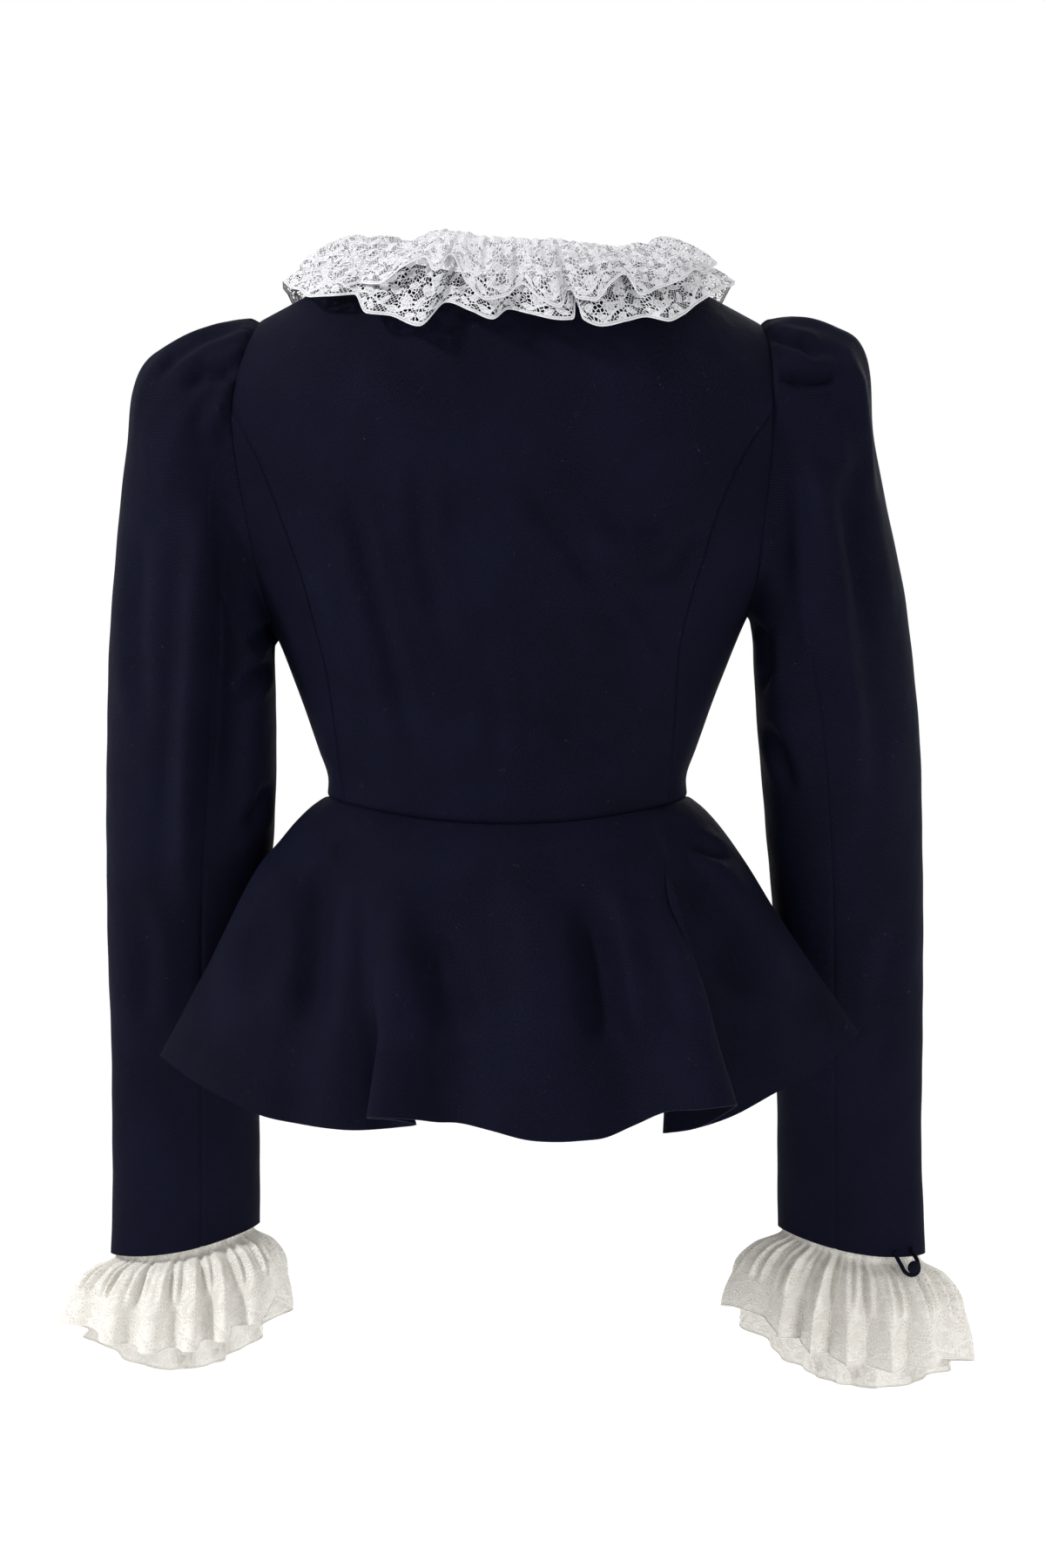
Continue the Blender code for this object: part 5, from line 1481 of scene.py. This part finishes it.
    def build(self) -> None:
        """Makes the top and the under piece."""
        points, outward, at = self.fine_grid()
        hind = int(np.argmin(np.abs(at - HINDARM_INDEX)))
        fore = int(np.argmin(np.abs(at - FOREARM_INDEX)))
        top = np.concatenate([np.arange(fore, len(at) - 1), np.arange(0, hind + 1)])
        under = np.arange(hind, fore + 1)
        for piece, columns, holds in (
            ("top_sleeve_", top, ["back", "front_" + self.label]),
            ("under_sleeve_", under, ["side_back_" + self.label, "side_front_" + self.label]),
        ):
            name = piece + self.label
            grid = points[:, columns]
            facing = outward[:, columns]
            # The seam sinks less near the armhole, where the gathers are eased in
            sunk = seam_dip(grid, (True, True, False, False))
            sunk *= np.clip(run_lengths(grid, 0) / 300.0, 0.2, 0.55)
            grid = grid - facing * sunk[..., None]
            made = sew(name + "_cloth", grid, facing, self.finish, CLOTH_WALL)
            declare(made, name)


@dataclass(frozen=True)
class Leaf:
    """A closely worked leaf with an open vein: its place, turn, length and width on the flat lace."""

    along: float
    inward: float
    turn: float
    length: float
    width: float


@dataclass(frozen=True)
class Blossom:
    """A closely worked flower with an open ring: its place, radius and number of petals."""

    along: float
    inward: float
    radius: float
    petals: int


@dataclass(frozen=True)
class LacePattern:
    """A plain garden spray that repeats along the lace: leaves, blossoms and curling stems."""

    repeat: float
    leaves: tuple[Leaf, ...]
    blossoms: tuple[Blossom, ...]
    stems: tuple[tuple[float, float, float], ...]
    holes: tuple[tuple[float, float, float], ...]
    border: float
    # The drawing is made larger than the lace and laid on at this scale
    scale: float = 0.66
    rows: float = 74.0
    # Distance that stands for far outside every worked part, mm
    outside: float = -4.0
    # Bend and taper of a leaf, half width of its open vein and the share of it that the vein covers
    bend: float = 0.1
    taper: float = 0.3
    vein: float = 0.35
    vein_share: float = 0.75
    # Shares of a blossom's radius between its petals and at its open ring, and the ring's half width
    notch: float = 0.62
    ring: float = 0.36
    ring_width: float = 0.45
    # Half width of a stem and of the open halo round worked parts
    stem: float = 0.5
    halo: float = 1.5

    def close_work(self, along: Array, inward: Array) -> Array:
        """Distance into the closely worked parts, mm, under zero outside them."""
        edge = self.border - inward
        along, inward = self.on_repeat(along, inward)
        deepest = np.full_like(along, self.outside)
        for leaf in self.leaves:
            u = self.near(along, leaf.along)
            v = inward - leaf.inward
            turn = math.radians(leaf.turn)
            x = u * math.cos(turn) + v * math.sin(turn)
            y = v * math.cos(turn) - u * math.sin(turn)
            y = y - self.bend * x * x / leaf.length
            half = leaf.length / 2
            taper = 1.0 + self.taper * np.clip(x / half, -1.0, 1.0)
            inside = leaf.width / 2 * (1 - (x / half) ** 2) * taper - np.abs(y)
            vein = np.where(np.abs(x) < half * self.vein_share, np.abs(y) - self.vein, 1.0)
            deepest = np.maximum(deepest, np.minimum(np.maximum(inside, self.outside), vein))
        for blossom in self.blossoms:
            u = self.near(along, blossom.along)
            v = inward - blossom.inward
            radius = np.hypot(u, v)
            petal = np.abs(np.cos(blossom.petals / 2 * np.arctan2(v, u)))
            reach = blossom.radius * (self.notch + (1 - self.notch) * petal**0.7)
            inside = (reach - radius) * 0.8
            ring = np.abs(radius - blossom.radius * self.ring) - self.ring_width
            deepest = np.maximum(deepest, np.minimum(np.maximum(inside, self.outside), ring))
        for inward_at, rise, phase in self.stems:
            line = inward_at + rise * np.sin(2 * math.pi * along / self.repeat + phase)
            deepest = np.maximum(deepest, self.stem - np.abs(inward - line) * 0.85)
        return np.maximum(deepest * self.scale, edge)

    def on_repeat(self, along: Array, inward: Array) -> tuple[Array, Array]:
        """Places on the pattern's own drawing, with every second row moved on by half a repeat."""
        across = along / self.scale
        down = inward / self.scale
        row = np.floor(down / self.rows)
        return across + (row % 2) * self.repeat / 2, down - row * self.rows

    def open_work(self, along: Array, inward: Array) -> Array:
        """Distance into the parts with larger holes, mm, under zero outside them."""
        halo = self.halo - np.abs(self.close_work(along, inward) + self.halo)
        along, inward = self.on_repeat(along, inward)
        # The halo is left out in slanting bands, so that it doesn't look regular
        deepest = np.where(np.sin(along * 0.19 + inward * 0.07) > -0.2, halo, self.outside)
        for middle, inward_at, radius in self.holes:
            away = np.hypot(self.near(along, middle), inward - inward_at)
            deepest = np.maximum(deepest, radius - away)
        return deepest

    def near(self, along: Array, middle: float) -> Array:
        """Distance along the lace from the nearest repeat of a place, mm."""
        return (along - middle + self.repeat / 2) % self.repeat - self.repeat / 2

    def lay(self, points: Array,
            ring: bool = False) -> tuple[Array, dict, tuple[float, float]]:
        """Lays the pattern on a gathered strip of lace.

        Args:
            points: the strip's grid, from its gathering to its free edge, mm.
            ring: makes the strip a whole number of repeats long.

        Returns:
            The flat coordinates, the fields for the material, and the strip's length and depth, mm.
        """
        edge = run_lengths(points, 1)[-1]
        down = run_lengths(points, 0)
        depth = float(down[-1].mean())
        inward = depth * (1 - down / down[-1:])
        size = (float(edge[-1]), depth)
        if ring:
            repeats = max(1, round(edge[-1] / self.repeat))
            edge = edge * repeats * self.repeat / edge[-1]
        along = np.broadcast_to(edge, inward.shape)
        fields = {"close_work": self.close_work(along, inward),
                  "open_work": self.open_work(along, inward)}
        return np.stack([along, depth - inward], axis=-1), fields, size


COLLAR_PATTERN = LacePattern(
    repeat=62.0,
    leaves=(
        Leaf(6, 9, 30, 15, 6.5), Leaf(20, 7, -25, 13, 6), Leaf(43, 8, 15, 16, 6.5),
        Leaf(56, 17, -50, 15, 6.5), Leaf(14, 21, -60, 17, 7), Leaf(50, 30, 35, 18, 7.5),
        Leaf(8, 34, 10, 18, 7), Leaf(28, 38, -35, 16, 7), Leaf(40, 48, 50, 17, 7),
        Leaf(58, 50, -20, 16, 6.5), Leaf(16, 54, 25, 18, 7), Leaf(34, 66, -15, 18, 7),
    ),
    blossoms=(
        Blossom(32, 19, 7.5, 5), Blossom(2, 47, 7.0, 5),
        Blossom(52, 66, 7.0, 6), Blossom(22, 66, 5.5, 5),
    ),
    stems=((13.0, 5.5, 0.4), (27.0, 6.0, 2.6), (44.0, 6.0, 4.4), (60.0, 5.0, 1.2)),
    holes=((32, 19, 12.5), (8, 14, 6.5), (2, 47, 11.0), (46, 42, 7.0), (24, 54, 7.0)),
    border=1.7,
)
CUFF_PATTERN = LacePattern(
    repeat=70.0,
    leaves=(
        Leaf(8, 10, 25, 17, 7), Leaf(26, 8, -20, 15, 6.5), Leaf(46, 10, 30, 17, 7),
        Leaf(62, 20, -45, 17, 7), Leaf(16, 26, 65, 18, 7.5), Leaf(54, 36, 20, 19, 8),
        Leaf(10, 42, -30, 18, 7), Leaf(34, 46, 40, 18, 7),
        Leaf(64, 54, -15, 17, 7), Leaf(22, 60, 30, 18, 7), Leaf(46, 64, -40, 18, 7),
    ),
    blossoms=(Blossom(36, 24, 8.5, 5), Blossom(2, 58, 7.5, 6), Blossom(60, 4, 4.5, 5)),
    stems=((15.0, 6.0, 0.2), (33.0, 7.0, 2.2), (52.0, 6.0, 4.0)),
    holes=((36, 24, 13.0), (12, 18, 7.0), (2, 58, 10.0), (50, 50, 7.0)),
    border=1.3,
)


@dataclass(frozen=True)
class Tier:
    """One tier of the collar ruffle.

    Args:
        node: the solid that it stands for.
        section: its rows from the gathering to the free edge.
        lobes: its free edge at the back.
        crest: share of the crest's shift that it takes.
    """

    node: str
    section: tuple[tuple[float, float, float, float, float], ...]
    lobes: tuple[tuple[float, float, float], ...]
    crest: float


COLLAR_TIERS = (
    Tier("collar_ruffle_lower", COLLAR_LOWER, LOWER_LOBES, 0.5),
    Tier("collar_ruffle_upper", COLLAR_UPPER, UPPER_LOBES, 1.0),
)


@dataclass
class Collar:
    """Two tiers of lace gathered into the neckline, the upper rolled over the lower."""

    lace: Material
    edging: Material
    columns: int = 900
    depth_steps: int = 52
    edge_radius: float = 0.45
    meander: float = 3.2
    pucker: float = 0.7

    def path(self, share: Array) -> tuple[Array, Array]:
        """Neckline and fall line, angle and height, from the right front round to the left."""
        sign = np.where(share < 0.5, -1.0, 1.0)
        even = np.linspace(0.0, 1.0, 61)
        along = np.abs(share - 0.5) * 2
        result = []
        for back_table, front_table in ((NECK_BACK, NECK_FRONT), (FALL_BACK, FALL_FRONT)):
            halves = []
            for table, at, front in ((back_table, along / BACK_SHARE, False),
                                     (front_table, (1 - along) / (1 - BACK_SHARE), True)):
                line = by_length(path_by_distance(table, 0.0, table[-1][0], front), even)
                halves.append(np.stack([np.interp(at, even, line[:, k]) for k in (0, 1)], axis=1))
            rows = np.where((along <= BACK_SHARE)[:, None], *halves)
            rows[:, 0] *= sign
            result.append(rows)
        return result[0], result[1]

    def lobes(self, share: Array, fall: Array, table: tuple) -> tuple:
        """Swing and edge height of a tier.

        Args:
            share: places along the tier.
            fall: the fall line there.
            table: listed lobes of the back.

        Returns:
            The swing, the edge height at the back, and how much of the back table counts.
        """
        x = body_point(fall[:, 0], np.minimum(fall[:, 1], BELOW_SHOULDER))[:, 0]
        rows = through(table, x, even=True)
        from_back = np.abs(share - 0.5) * 2
        weight = ease(np.clip((BACK_SHARE - from_back) / BACK_BLEND, 0.0, 1.0))
        regular = np.sin(TURN * (share * COLLAR_WAVES + COLLAR_PHASE))
        regular *= 1.0 + waves(COLLAR_UNEVEN, share)
        swing = rows[:, 0] * weight + regular * (1 - weight)
        return swing, rows[:, 1], weight

    def grid(self, tier: Tier, share: Array) -> Array:
        """Fine grid of one tier, from its gathering to its free edge, mm."""
        neck, fall = self.path(share)
        swing, edge_z, weight = self.lobes(share, fall, tier.lobes)
        keyed = [(number / (len(tier.section) - 1), *row) for number, row in enumerate(tier.section)]
        steps = np.linspace(0.0, 1.0, self.depth_steps + 1)
        rows = []
        pucker = waves(COLLAR_PUCKERS, share) * self.pucker
        from_shoulder = (2 * np.abs(share - 0.5) - BACK_SHARE) / SHOULDER_SPREAD
        for step in steps:
            fall_share, height, lift, shoulder_lift, wave = through(keyed, np.array(step))
            turn = neck[:, 0] + (fall[:, 0] - neck[:, 0]) * fall_share
            level = np.minimum(neck[:, 1] + (fall[:, 1] - neck[:, 1]) * fall_share, BELOW_SHOULDER)
            raised = height + wave * swing + pucker * math.sin(math.pi * step**0.6)
            point = body_point(turn, level) + body_normal(turn, level) * raised[:, None]
            point[:, 2] += lift + shoulder_lift * np.exp(-(from_shoulder**2))
            rows.append(point)
        points = np.array(rows)
        reach = (steps**1.6)[:, None]
        shift = (edge_z - points[-1, :, 2]) * weight
        points[..., 2] += shift[None] * reach
        x = body_point(fall[:, 0], np.minimum(fall[:, 1], BELOW_SHOULDER))[:, 0]
        roll = through(CREST_SHIFT, x)[:, 0] * tier.crest + waves(CREST_WAVES, share)
        # The roll is highest a little above the middle of the tier and is gone before its free edge
        shape = np.sin(math.pi * np.clip(steps * 1.15, 0.0, 1.0))
        points[..., 2] += (roll * weight)[None] * shape[:, None]
        tangent = unit(np.gradient(points[-1], axis=0))
        slope = np.gradient(swing)
        slope /= np.maximum(np.abs(slope).max(), 1e-9)
        # The edge runs back on itself between the lobes, as gathered lace does
        drift = -self.meander * 2 * slope * swing
        points += (tangent * drift[:, None])[None] * (steps**2)[:, None, None]
        return points

    def build(self) -> None:
        """Makes both tiers and the thick thread along their free edges."""
        share = np.linspace(COLLAR_START, 1.0 - COLLAR_START, self.columns + 1)
        for tier in COLLAR_TIERS:
            points = self.grid(tier, share)
            flat, fields, size = COLLAR_PATTERN.lay(points)
            outward = grid_normals(points)
            outward *= np.sign(outward[..., 1].ravel()[np.argmax(points[..., 1])])
            made = sew(tier.node + "_lace", points, outward, self.lace, 0.0, flat, fields)
            thread = tube(tier.node + "_edge", points[-1], self.edge_radius, self.edging)
            declare(made, tier.node,
                    [thread])


@dataclass
class CuffRuffle:
    """Lace gathered inside the end of one sleeve, spreading over the hand."""

    side: Side
    sleeve: Sleeve
    lace: Material
    edging: Material
    columns: int = 560
    depth_steps: int = 62
    edge_radius: float = 0.4
    meander: float = 1.3
    small_gather: float = 2.3
    lobe_drop: float = 1.2
    crowding: float = 2.8

    def edge_height(self, numbers: tuple, turn: Array) -> Array:
        """Height round the free edge from its outer, inner, back and front heights."""
        outer, inner, back, front = numbers
        middle = (outer + inner + back + front) / 4
        twist = (outer + inner - back - front) / 4
        return (middle + twist * np.cos(2 * turn) + (outer - inner) / 2 * np.cos(turn)
                + (back - front) / 2 * np.sin(turn))

    def grid(self) -> Array:
        """Fine grid of the ruffle, from its gathering inside the sleeve to its free edge, mm."""
        left = self.side is Side.LEFT
        numbers = CUFF_EDGE_LEFT if left else CUFF_EDGE_RIGHT
        count = CUFF_WAVES_LEFT if left else CUFF_WAVES_RIGHT
        sign = self.side.value
        coarse = self.sleeve.rings(np.arange(RING_COUNT, dtype=float))
        last = coarse[-1]
        slope = unit(coarse[-2].mean(axis=0) - last.mean(axis=0))
        outer = last[0]
        inner = last[UNDERARM_INDEX]
        centre = (outer + inner) / 2
        half = abs(outer[0] - inner[0]) / 2
        depth = self.sleeve.table[-1][5]
        middle_x, middle_y, half_width, half_depth = numbers[:4]
        turn = np.linspace(0.0, TURN, self.columns + 1)
        phase = count * (turn + waves(CUFF_UNEVEN, turn)) - self.crowding * np.sin(2 * turn)
        swing = np.sin(phase)
        size = CUFF_MEAN_SIZE + waves(CUFF_SIZES, turn)
        fine = waves(CUFF_PUCKERS, turn)
        hem_z = centre[2] + (outer[2] - inner[2]) / 2 * np.cos(turn) - CUFF_EDGE_DROP * np.sin(turn) ** 2
        edge_z = self.edge_height(numbers[4:], turn)
        normal = unit(np.stack([sign * np.cos(turn) / half, np.sin(turn) / depth, 0 * turn], axis=1))
        tangent = np.stack([-normal[:, 1], normal[:, 0], 0 * turn], axis=1)
        low_centre = np.array([sign * middle_x, middle_y, 0.0])
        total = float(np.mean(hem_z - edge_z))
        tuck_share = CUFF_TUCK / (CUFF_TUCK + total)
        rows = []
        for step in np.linspace(0.0, 1.0, self.depth_steps + 1):
            drop = max(0.0, (step - tuck_share) / (1 - tuck_share))
            spread, wave = through(((0.0, 0.0, 0.8),) + CUFF_PROFILE, np.array(drop), even=True)
            mid = centre + (low_centre - centre) * drop
            radius_x = (half - CUFF_CLEAR) + (half_width - half + CUFF_CLEAR) * spread
            radius_y = (depth - CUFF_CLEAR) + (half_depth - depth + CUFF_CLEAR) * spread
            x = mid[0] + sign * radius_x * np.cos(turn)
            y = mid[1] + radius_y * np.sin(turn)
            z = hem_z + (edge_z - hem_z) * drop - self.lobe_drop * swing * drop**3
            point = np.stack([x, y, z], axis=1)
            fade = math.sin(math.pi * drop / SMALL_GATHER_END) if drop < SMALL_GATHER_END else 0.0
            point += normal * (wave * swing * size + self.small_gather * fine * fade)[:, None]
            wander = -self.meander * np.sin(2 * phase) * drop**1.5
            point += tangent * wander[:, None]
            if step < tuck_share:
                point += slope[None] * CUFF_TUCK * (1 - step / tuck_share)
            rows.append(point)
        return np.array(rows)

    def build(self) -> None:
        """Makes the ruffle and the thread along its free edge."""
        node = "cuff_ruffle_" + self.sleeve.label
        points = self.grid()
        flat, fields, size = CUFF_PATTERN.lay(points, ring=True)
        outward = grid_normals(points)
        centre = points.mean(axis=1, keepdims=True)
        outward *= np.sign(((points - centre) * outward).sum())
        made = sew(node + "_lace", points, outward, self.lace, 0.0, flat, fields, closed=True)
        thread = tube(node + "_edge", points[-1, :-1], self.edge_radius, self.edging, closed=True)
        declare(made, node,
                [thread])


@dataclass
class Fastening:
    """Covered buttons with rouleau loops down the front and at the right cuff."""

    finish: Material
    sleeve: Sleeve

    def button(self, name: str, spot: Array, out: Array, radius: float, rise: float,
               shank: float) -> None:
        """Covered button on its shank: a domed form with a drawn in back.

        Args:
            name: node that it stands for.
            spot: where its shank is sewn, mm.
            out: the direction that it faces.
            radius: its radius, mm.
            rise: its height, mm.
            shank: radius of its shank, mm.
        """
        unpick()
        bpy.ops.mesh.primitive_cylinder_add(vertices=40, radius=radius * MM, depth=rise * 0.36 * MM,
                                            location=(0.0, 0.0, rise * 0.58 * MM))
        made = bpy.context.active_object
        made.name = name + "_covered"
        bpy.ops.object.transform_apply(location=True, rotation=True, scale=True)
        bpy.ops.object.mode_set(mode="EDIT")
        bpy.ops.mesh.select_mode(type="FACE")
        for share, lift in DOME_STEPS:
            self.select_cap(made, 1.0)
            bpy.ops.mesh.inset(thickness=radius * share * 0.8 * MM)
            bpy.ops.transform.translate(value=(0.0, 0.0, rise * lift * MM))
        self.select_cap(made, -1.0)
        bpy.ops.mesh.inset(thickness=radius * 0.3 * MM)
        bpy.ops.transform.translate(value=(0.0, 0.0, -rise * 0.05 * MM))
        bpy.ops.mesh.inset(thickness=(radius * 0.7 - shank) * MM)
        bpy.ops.mesh.extrude_region_move(TRANSFORM_OT_translate={"value": (0.0, 0.0, -rise * 0.34 * MM)})
        bpy.ops.object.mode_set(mode="OBJECT")
        apply_modifier(made, "BEVEL", width=radius * 0.12 * MM, segments=3, limit_method="ANGLE",
                       angle_limit=math.radians(50))
        turn = Vector(out).to_track_quat("Z", "Y").to_matrix().to_4x4()
        made.matrix_world = Matrix.Translation(Vector(spot) * MM) @ turn
        pick(made)
        bpy.ops.object.transform_apply(location=True, rotation=True, scale=True)
        smooth(made, BUTTON_SMOOTH_ANGLE)
        self.unwrap(made)
        dress(made, self.finish)
        stand_for(made, name)

    def unwrap(self, made: Object) -> None:
        """Lays a small piece's coordinates out in metres, for the weave."""
        mesh = made.data
        if not mesh.uv_layers:
            mesh.uv_layers.new(name="UVMap")
        mesh.uv_layers[0].name = "UVMap"
        places = np.empty(len(mesh.vertices) * 3, np.float32)
        mesh.vertices.foreach_get("co", places)
        lay_flat(made, places.reshape(-1, 3)[:, (0, 2)])

    def select_cap(self, made: Object, up: float) -> None:
        """Selects the outermost face that looks along the button's axis."""
        bpy.ops.object.mode_set(mode="OBJECT")
        mesh = made.data
        for items in (mesh.vertices, mesh.edges, mesh.polygons):
            items.foreach_set("select", [False] * len(items))
        cap = max(mesh.polygons, key=lambda face: (round(face.normal.z * up, 2), face.center.z * up))
        cap.select = True
        bpy.ops.object.mode_set(mode="EDIT")

    def loop(self, name: str, route: Array, radius: float = LOOP_CORD / 2) -> None:
        """Rouleau loop along a route, of a radius, mm."""
        keys = np.arange(len(route), dtype=float)
        fine = through(np.hstack([keys[:, None], route]), np.linspace(0.0, keys[-1], 12 * len(route)))
        made = tube(name + "_rouleau", fine, radius, self.finish, resolution=4)
        self.unwrap(made)
        stand_for(made, name)

    def front(self) -> None:
        """Buttons on the left front and loops from the right front's edge."""
        lift = CLOTH_WALL / 2 + FASTENING_GAP
        reach = SHANK_RADIUS + LOOP_CORD / 2 + LOOP_GAP
        for number, level in enumerate(BUTTON_HEIGHTS, start=1):
            turn = turn_at(np.array(BUTTON_OFFSET), np.array(level), True)
            spot = body_point(turn, level)
            out = body_normal(turn, level)
            self.button("front_button_%d" % number, spot + out * lift, out, BUTTON_RADIUS, BUTTON_RISE,
                        SHANK_RADIUS)
            line = [(-6.0, reach), (2.0, reach), (BUTTON_OFFSET, reach)]
            line += [(BUTTON_OFFSET + reach * math.sin(a), reach * math.cos(a))
                     for a in np.radians([45.0, 90.0, 135.0])]
            line += [(x, -z) for x, z in reversed(line[:3])]
            points = []
            for x, dz in line:
                at = math.pi - math.asin(x / float(half_width_at(np.array(level + dz))))
                raised = body_normal(at, level + dz) * (lift + LOOP_CORD / 2)
                points.append(body_point(at, level + dz) + raised)
            self.loop("front_loop_%d" % number, np.array(points))

    def cuff(self) -> None:
        """Small button and loop that hang from the outer edge of the right cuff."""
        coarse = self.sleeve.rings(np.arange(RING_COUNT, dtype=float))
        last = coarse[-1]
        down = unit(last[CUFF_BUTTON_INDEX] - coarse[-2][CUFF_BUTTON_INDEX])
        across = last[CUFF_BUTTON_INDEX + 1] - last[CUFF_BUTTON_INDEX - 1]
        across = unit(across - across.dot(down) * down)
        out = np.cross(across, down)
        out *= np.sign(out.dot(last[CUFF_BUTTON_INDEX] - last[UNDERARM_INDEX]))
        spot = last[CUFF_BUTTON_INDEX] + down * CUFF_BUTTON_DROP + out * CUFF_BUTTON_REACH
        self.button("cuff_button", spot, out, CUFF_BUTTON_RADIUS, CUFF_BUTTON_RISE, CUFF_SHANK_RADIUS)
        edge = last[CUFF_BUTTON_INDEX] + out * (CLOTH_WALL / 2 + SEAM_GAP + LOOP_CORD / 2)
        route = edge + np.array(CUFF_LOOP_ROUTE) @ np.stack([across, down, out])
        self.loop("cuff_loop", route, CUFF_LOOP_RADIUS)


@dataclass(frozen=True)
class Lamp:
    """A soft round light: its name, its place in metres, its width and its power."""

    name: str
    place: tuple[float, float, float]
    size: float
    energy: float

    def build(self) -> None:
        """Adds the light, turned to the jacket."""
        data = bpy.data.lights.new(self.name, "AREA")
        data.shape = "DISK"
        data.size = self.size
        data.energy = self.energy
        made = bpy.data.objects.new(self.name, data)
        bpy.context.scene.collection.objects.link(made)
        made.location = self.place
        aim = Vector(VIEW_TARGET) - Vector(self.place)
        made.rotation_euler = aim.to_track_quat("-Z", "Y").to_euler()


@dataclass
class Studio:
    """Pale floor, soft lights and the camera at the photograph's angle."""

    lamps: tuple[Lamp, ...] = (
        Lamp("key", (2.6, 1.4, 1.9), 0.5, 120.0),
        Lamp("fill", (-2.4, 1.9, 0.2), 1.6, 11.0),
        Lamp("low", (-1.5, 1.5, -0.7), 0.9, 10.0),
        Lamp("top", (0.2, -0.4, 2.2), 1.6, 9.0),
        Lamp("front", (-1.2, -2.6, 0.9), 1.6, 17.6),
    )
    # Light of the room behind the jacket and before it
    wall_light: float = 1.0
    room_light: float = 0.42

    def build(self) -> None:
        """Sets the stage up."""
        self.lay_floor()
        self.light_room()
        for lamp in self.lamps:
            lamp.build()
        self.place_camera()
        bpy.context.scene.view_settings.view_transform = "Standard"

    def lay_floor(self) -> None:
        """Adds the floor."""
        unpick()
        bpy.ops.mesh.primitive_plane_add(size=FLOOR_SPAN, location=(0.0, 0.0, FLOOR_HEIGHT))
        floor = bpy.context.active_object
        floor.name = "floor"
        floor.data.materials.append(StudioPaper().make())

    def light_room(self) -> None:
        """Lights the room, brighter behind the jacket than in front of it."""
        world = bpy.data.worlds.new("studio")
        world.use_nodes = True
        tree = world.node_tree
        facing = add(tree, "ShaderNodeTexCoord", output="Generated")
        toward = add(tree, "ShaderNodeSeparateXYZ", {0: facing}, output=1)
        level = add(tree, "ShaderNodeMapRange",
                    {0: toward, 1: -0.05, 2: 0.6, 3: self.wall_light, 4: self.room_light},
                    interpolation_type="SMOOTHSTEP")
        tree.nodes["Background"].inputs[0].default_value = (1.0, 1.0, 1.0, 1.0)
        tree.links.new(level, tree.nodes["Background"].inputs[1])
        bpy.context.scene.world = world

    def place_camera(self) -> None:
        """Adds the camera of the photograph's view."""
        elevation = math.radians(VIEW_ELEVATION)
        back = Vector((0.0, math.cos(elevation), math.sin(elevation)))
        data = bpy.data.cameras.new("camera")
        data.lens = VIEW_LENS
        data.sensor_width = SENSOR
        data.clip_start = 0.05
        data.clip_end = 100.0
        camera = bpy.data.objects.new("camera", data)
        bpy.context.scene.collection.objects.link(camera)
        camera.location = Vector(VIEW_TARGET) + back * VIEW_DISTANCE
        camera.rotation_euler = (-back).to_track_quat("-Z", "Y").to_euler()
        bpy.context.scene.camera = camera


def main() -> None:
    """Builds the jacket's looks piece by piece."""
    logging.basicConfig(level=logging.INFO, format="%(name)s %(message)s")
    Studio().build()
    wool = WoolTwill().make()
    trim = WoolTwill(name="navy_rouleau_cloth", shade="#080912", tint="#10121f", ridge=1.0).make()
    collar_lace = CottonLace("white_cotton_lace", "#bcbcc0", "#cccccf").make()
    # The cuff lace's holes are mostly filled with a painted shade of the doubled net behind
    cuff_lace = CottonLace("cream_cotton_lace", "#d0cdc6", "#dfddd8", veil=0.74, painted_hole_shade="#cbc6bd").make()
    white_thread = TwistedThread("white_edge_thread", "#cfcfd2").make()
    cream_thread = TwistedThread("cream_edge_thread", "#dedad2").make()
    left = Seams(Side.LEFT)
    right = Seams(Side.RIGHT)
    Bodice(wool, left, right).build()
    Peplum(wool).build()
    sleeves = {seams.side: Sleeve(seams.side, seams, wool) for seams in (left, right)}
    for side, sleeve in sleeves.items():
        sleeve.build()
        CuffRuffle(side, sleeve, cuff_lace, cream_thread).build()
    Collar(collar_lace, white_thread).build()
    fastening = Fastening(trim, sleeves[Side.RIGHT])
    fastening.front()
    fastening.cuff()


if __name__ == "__main__":
    main()
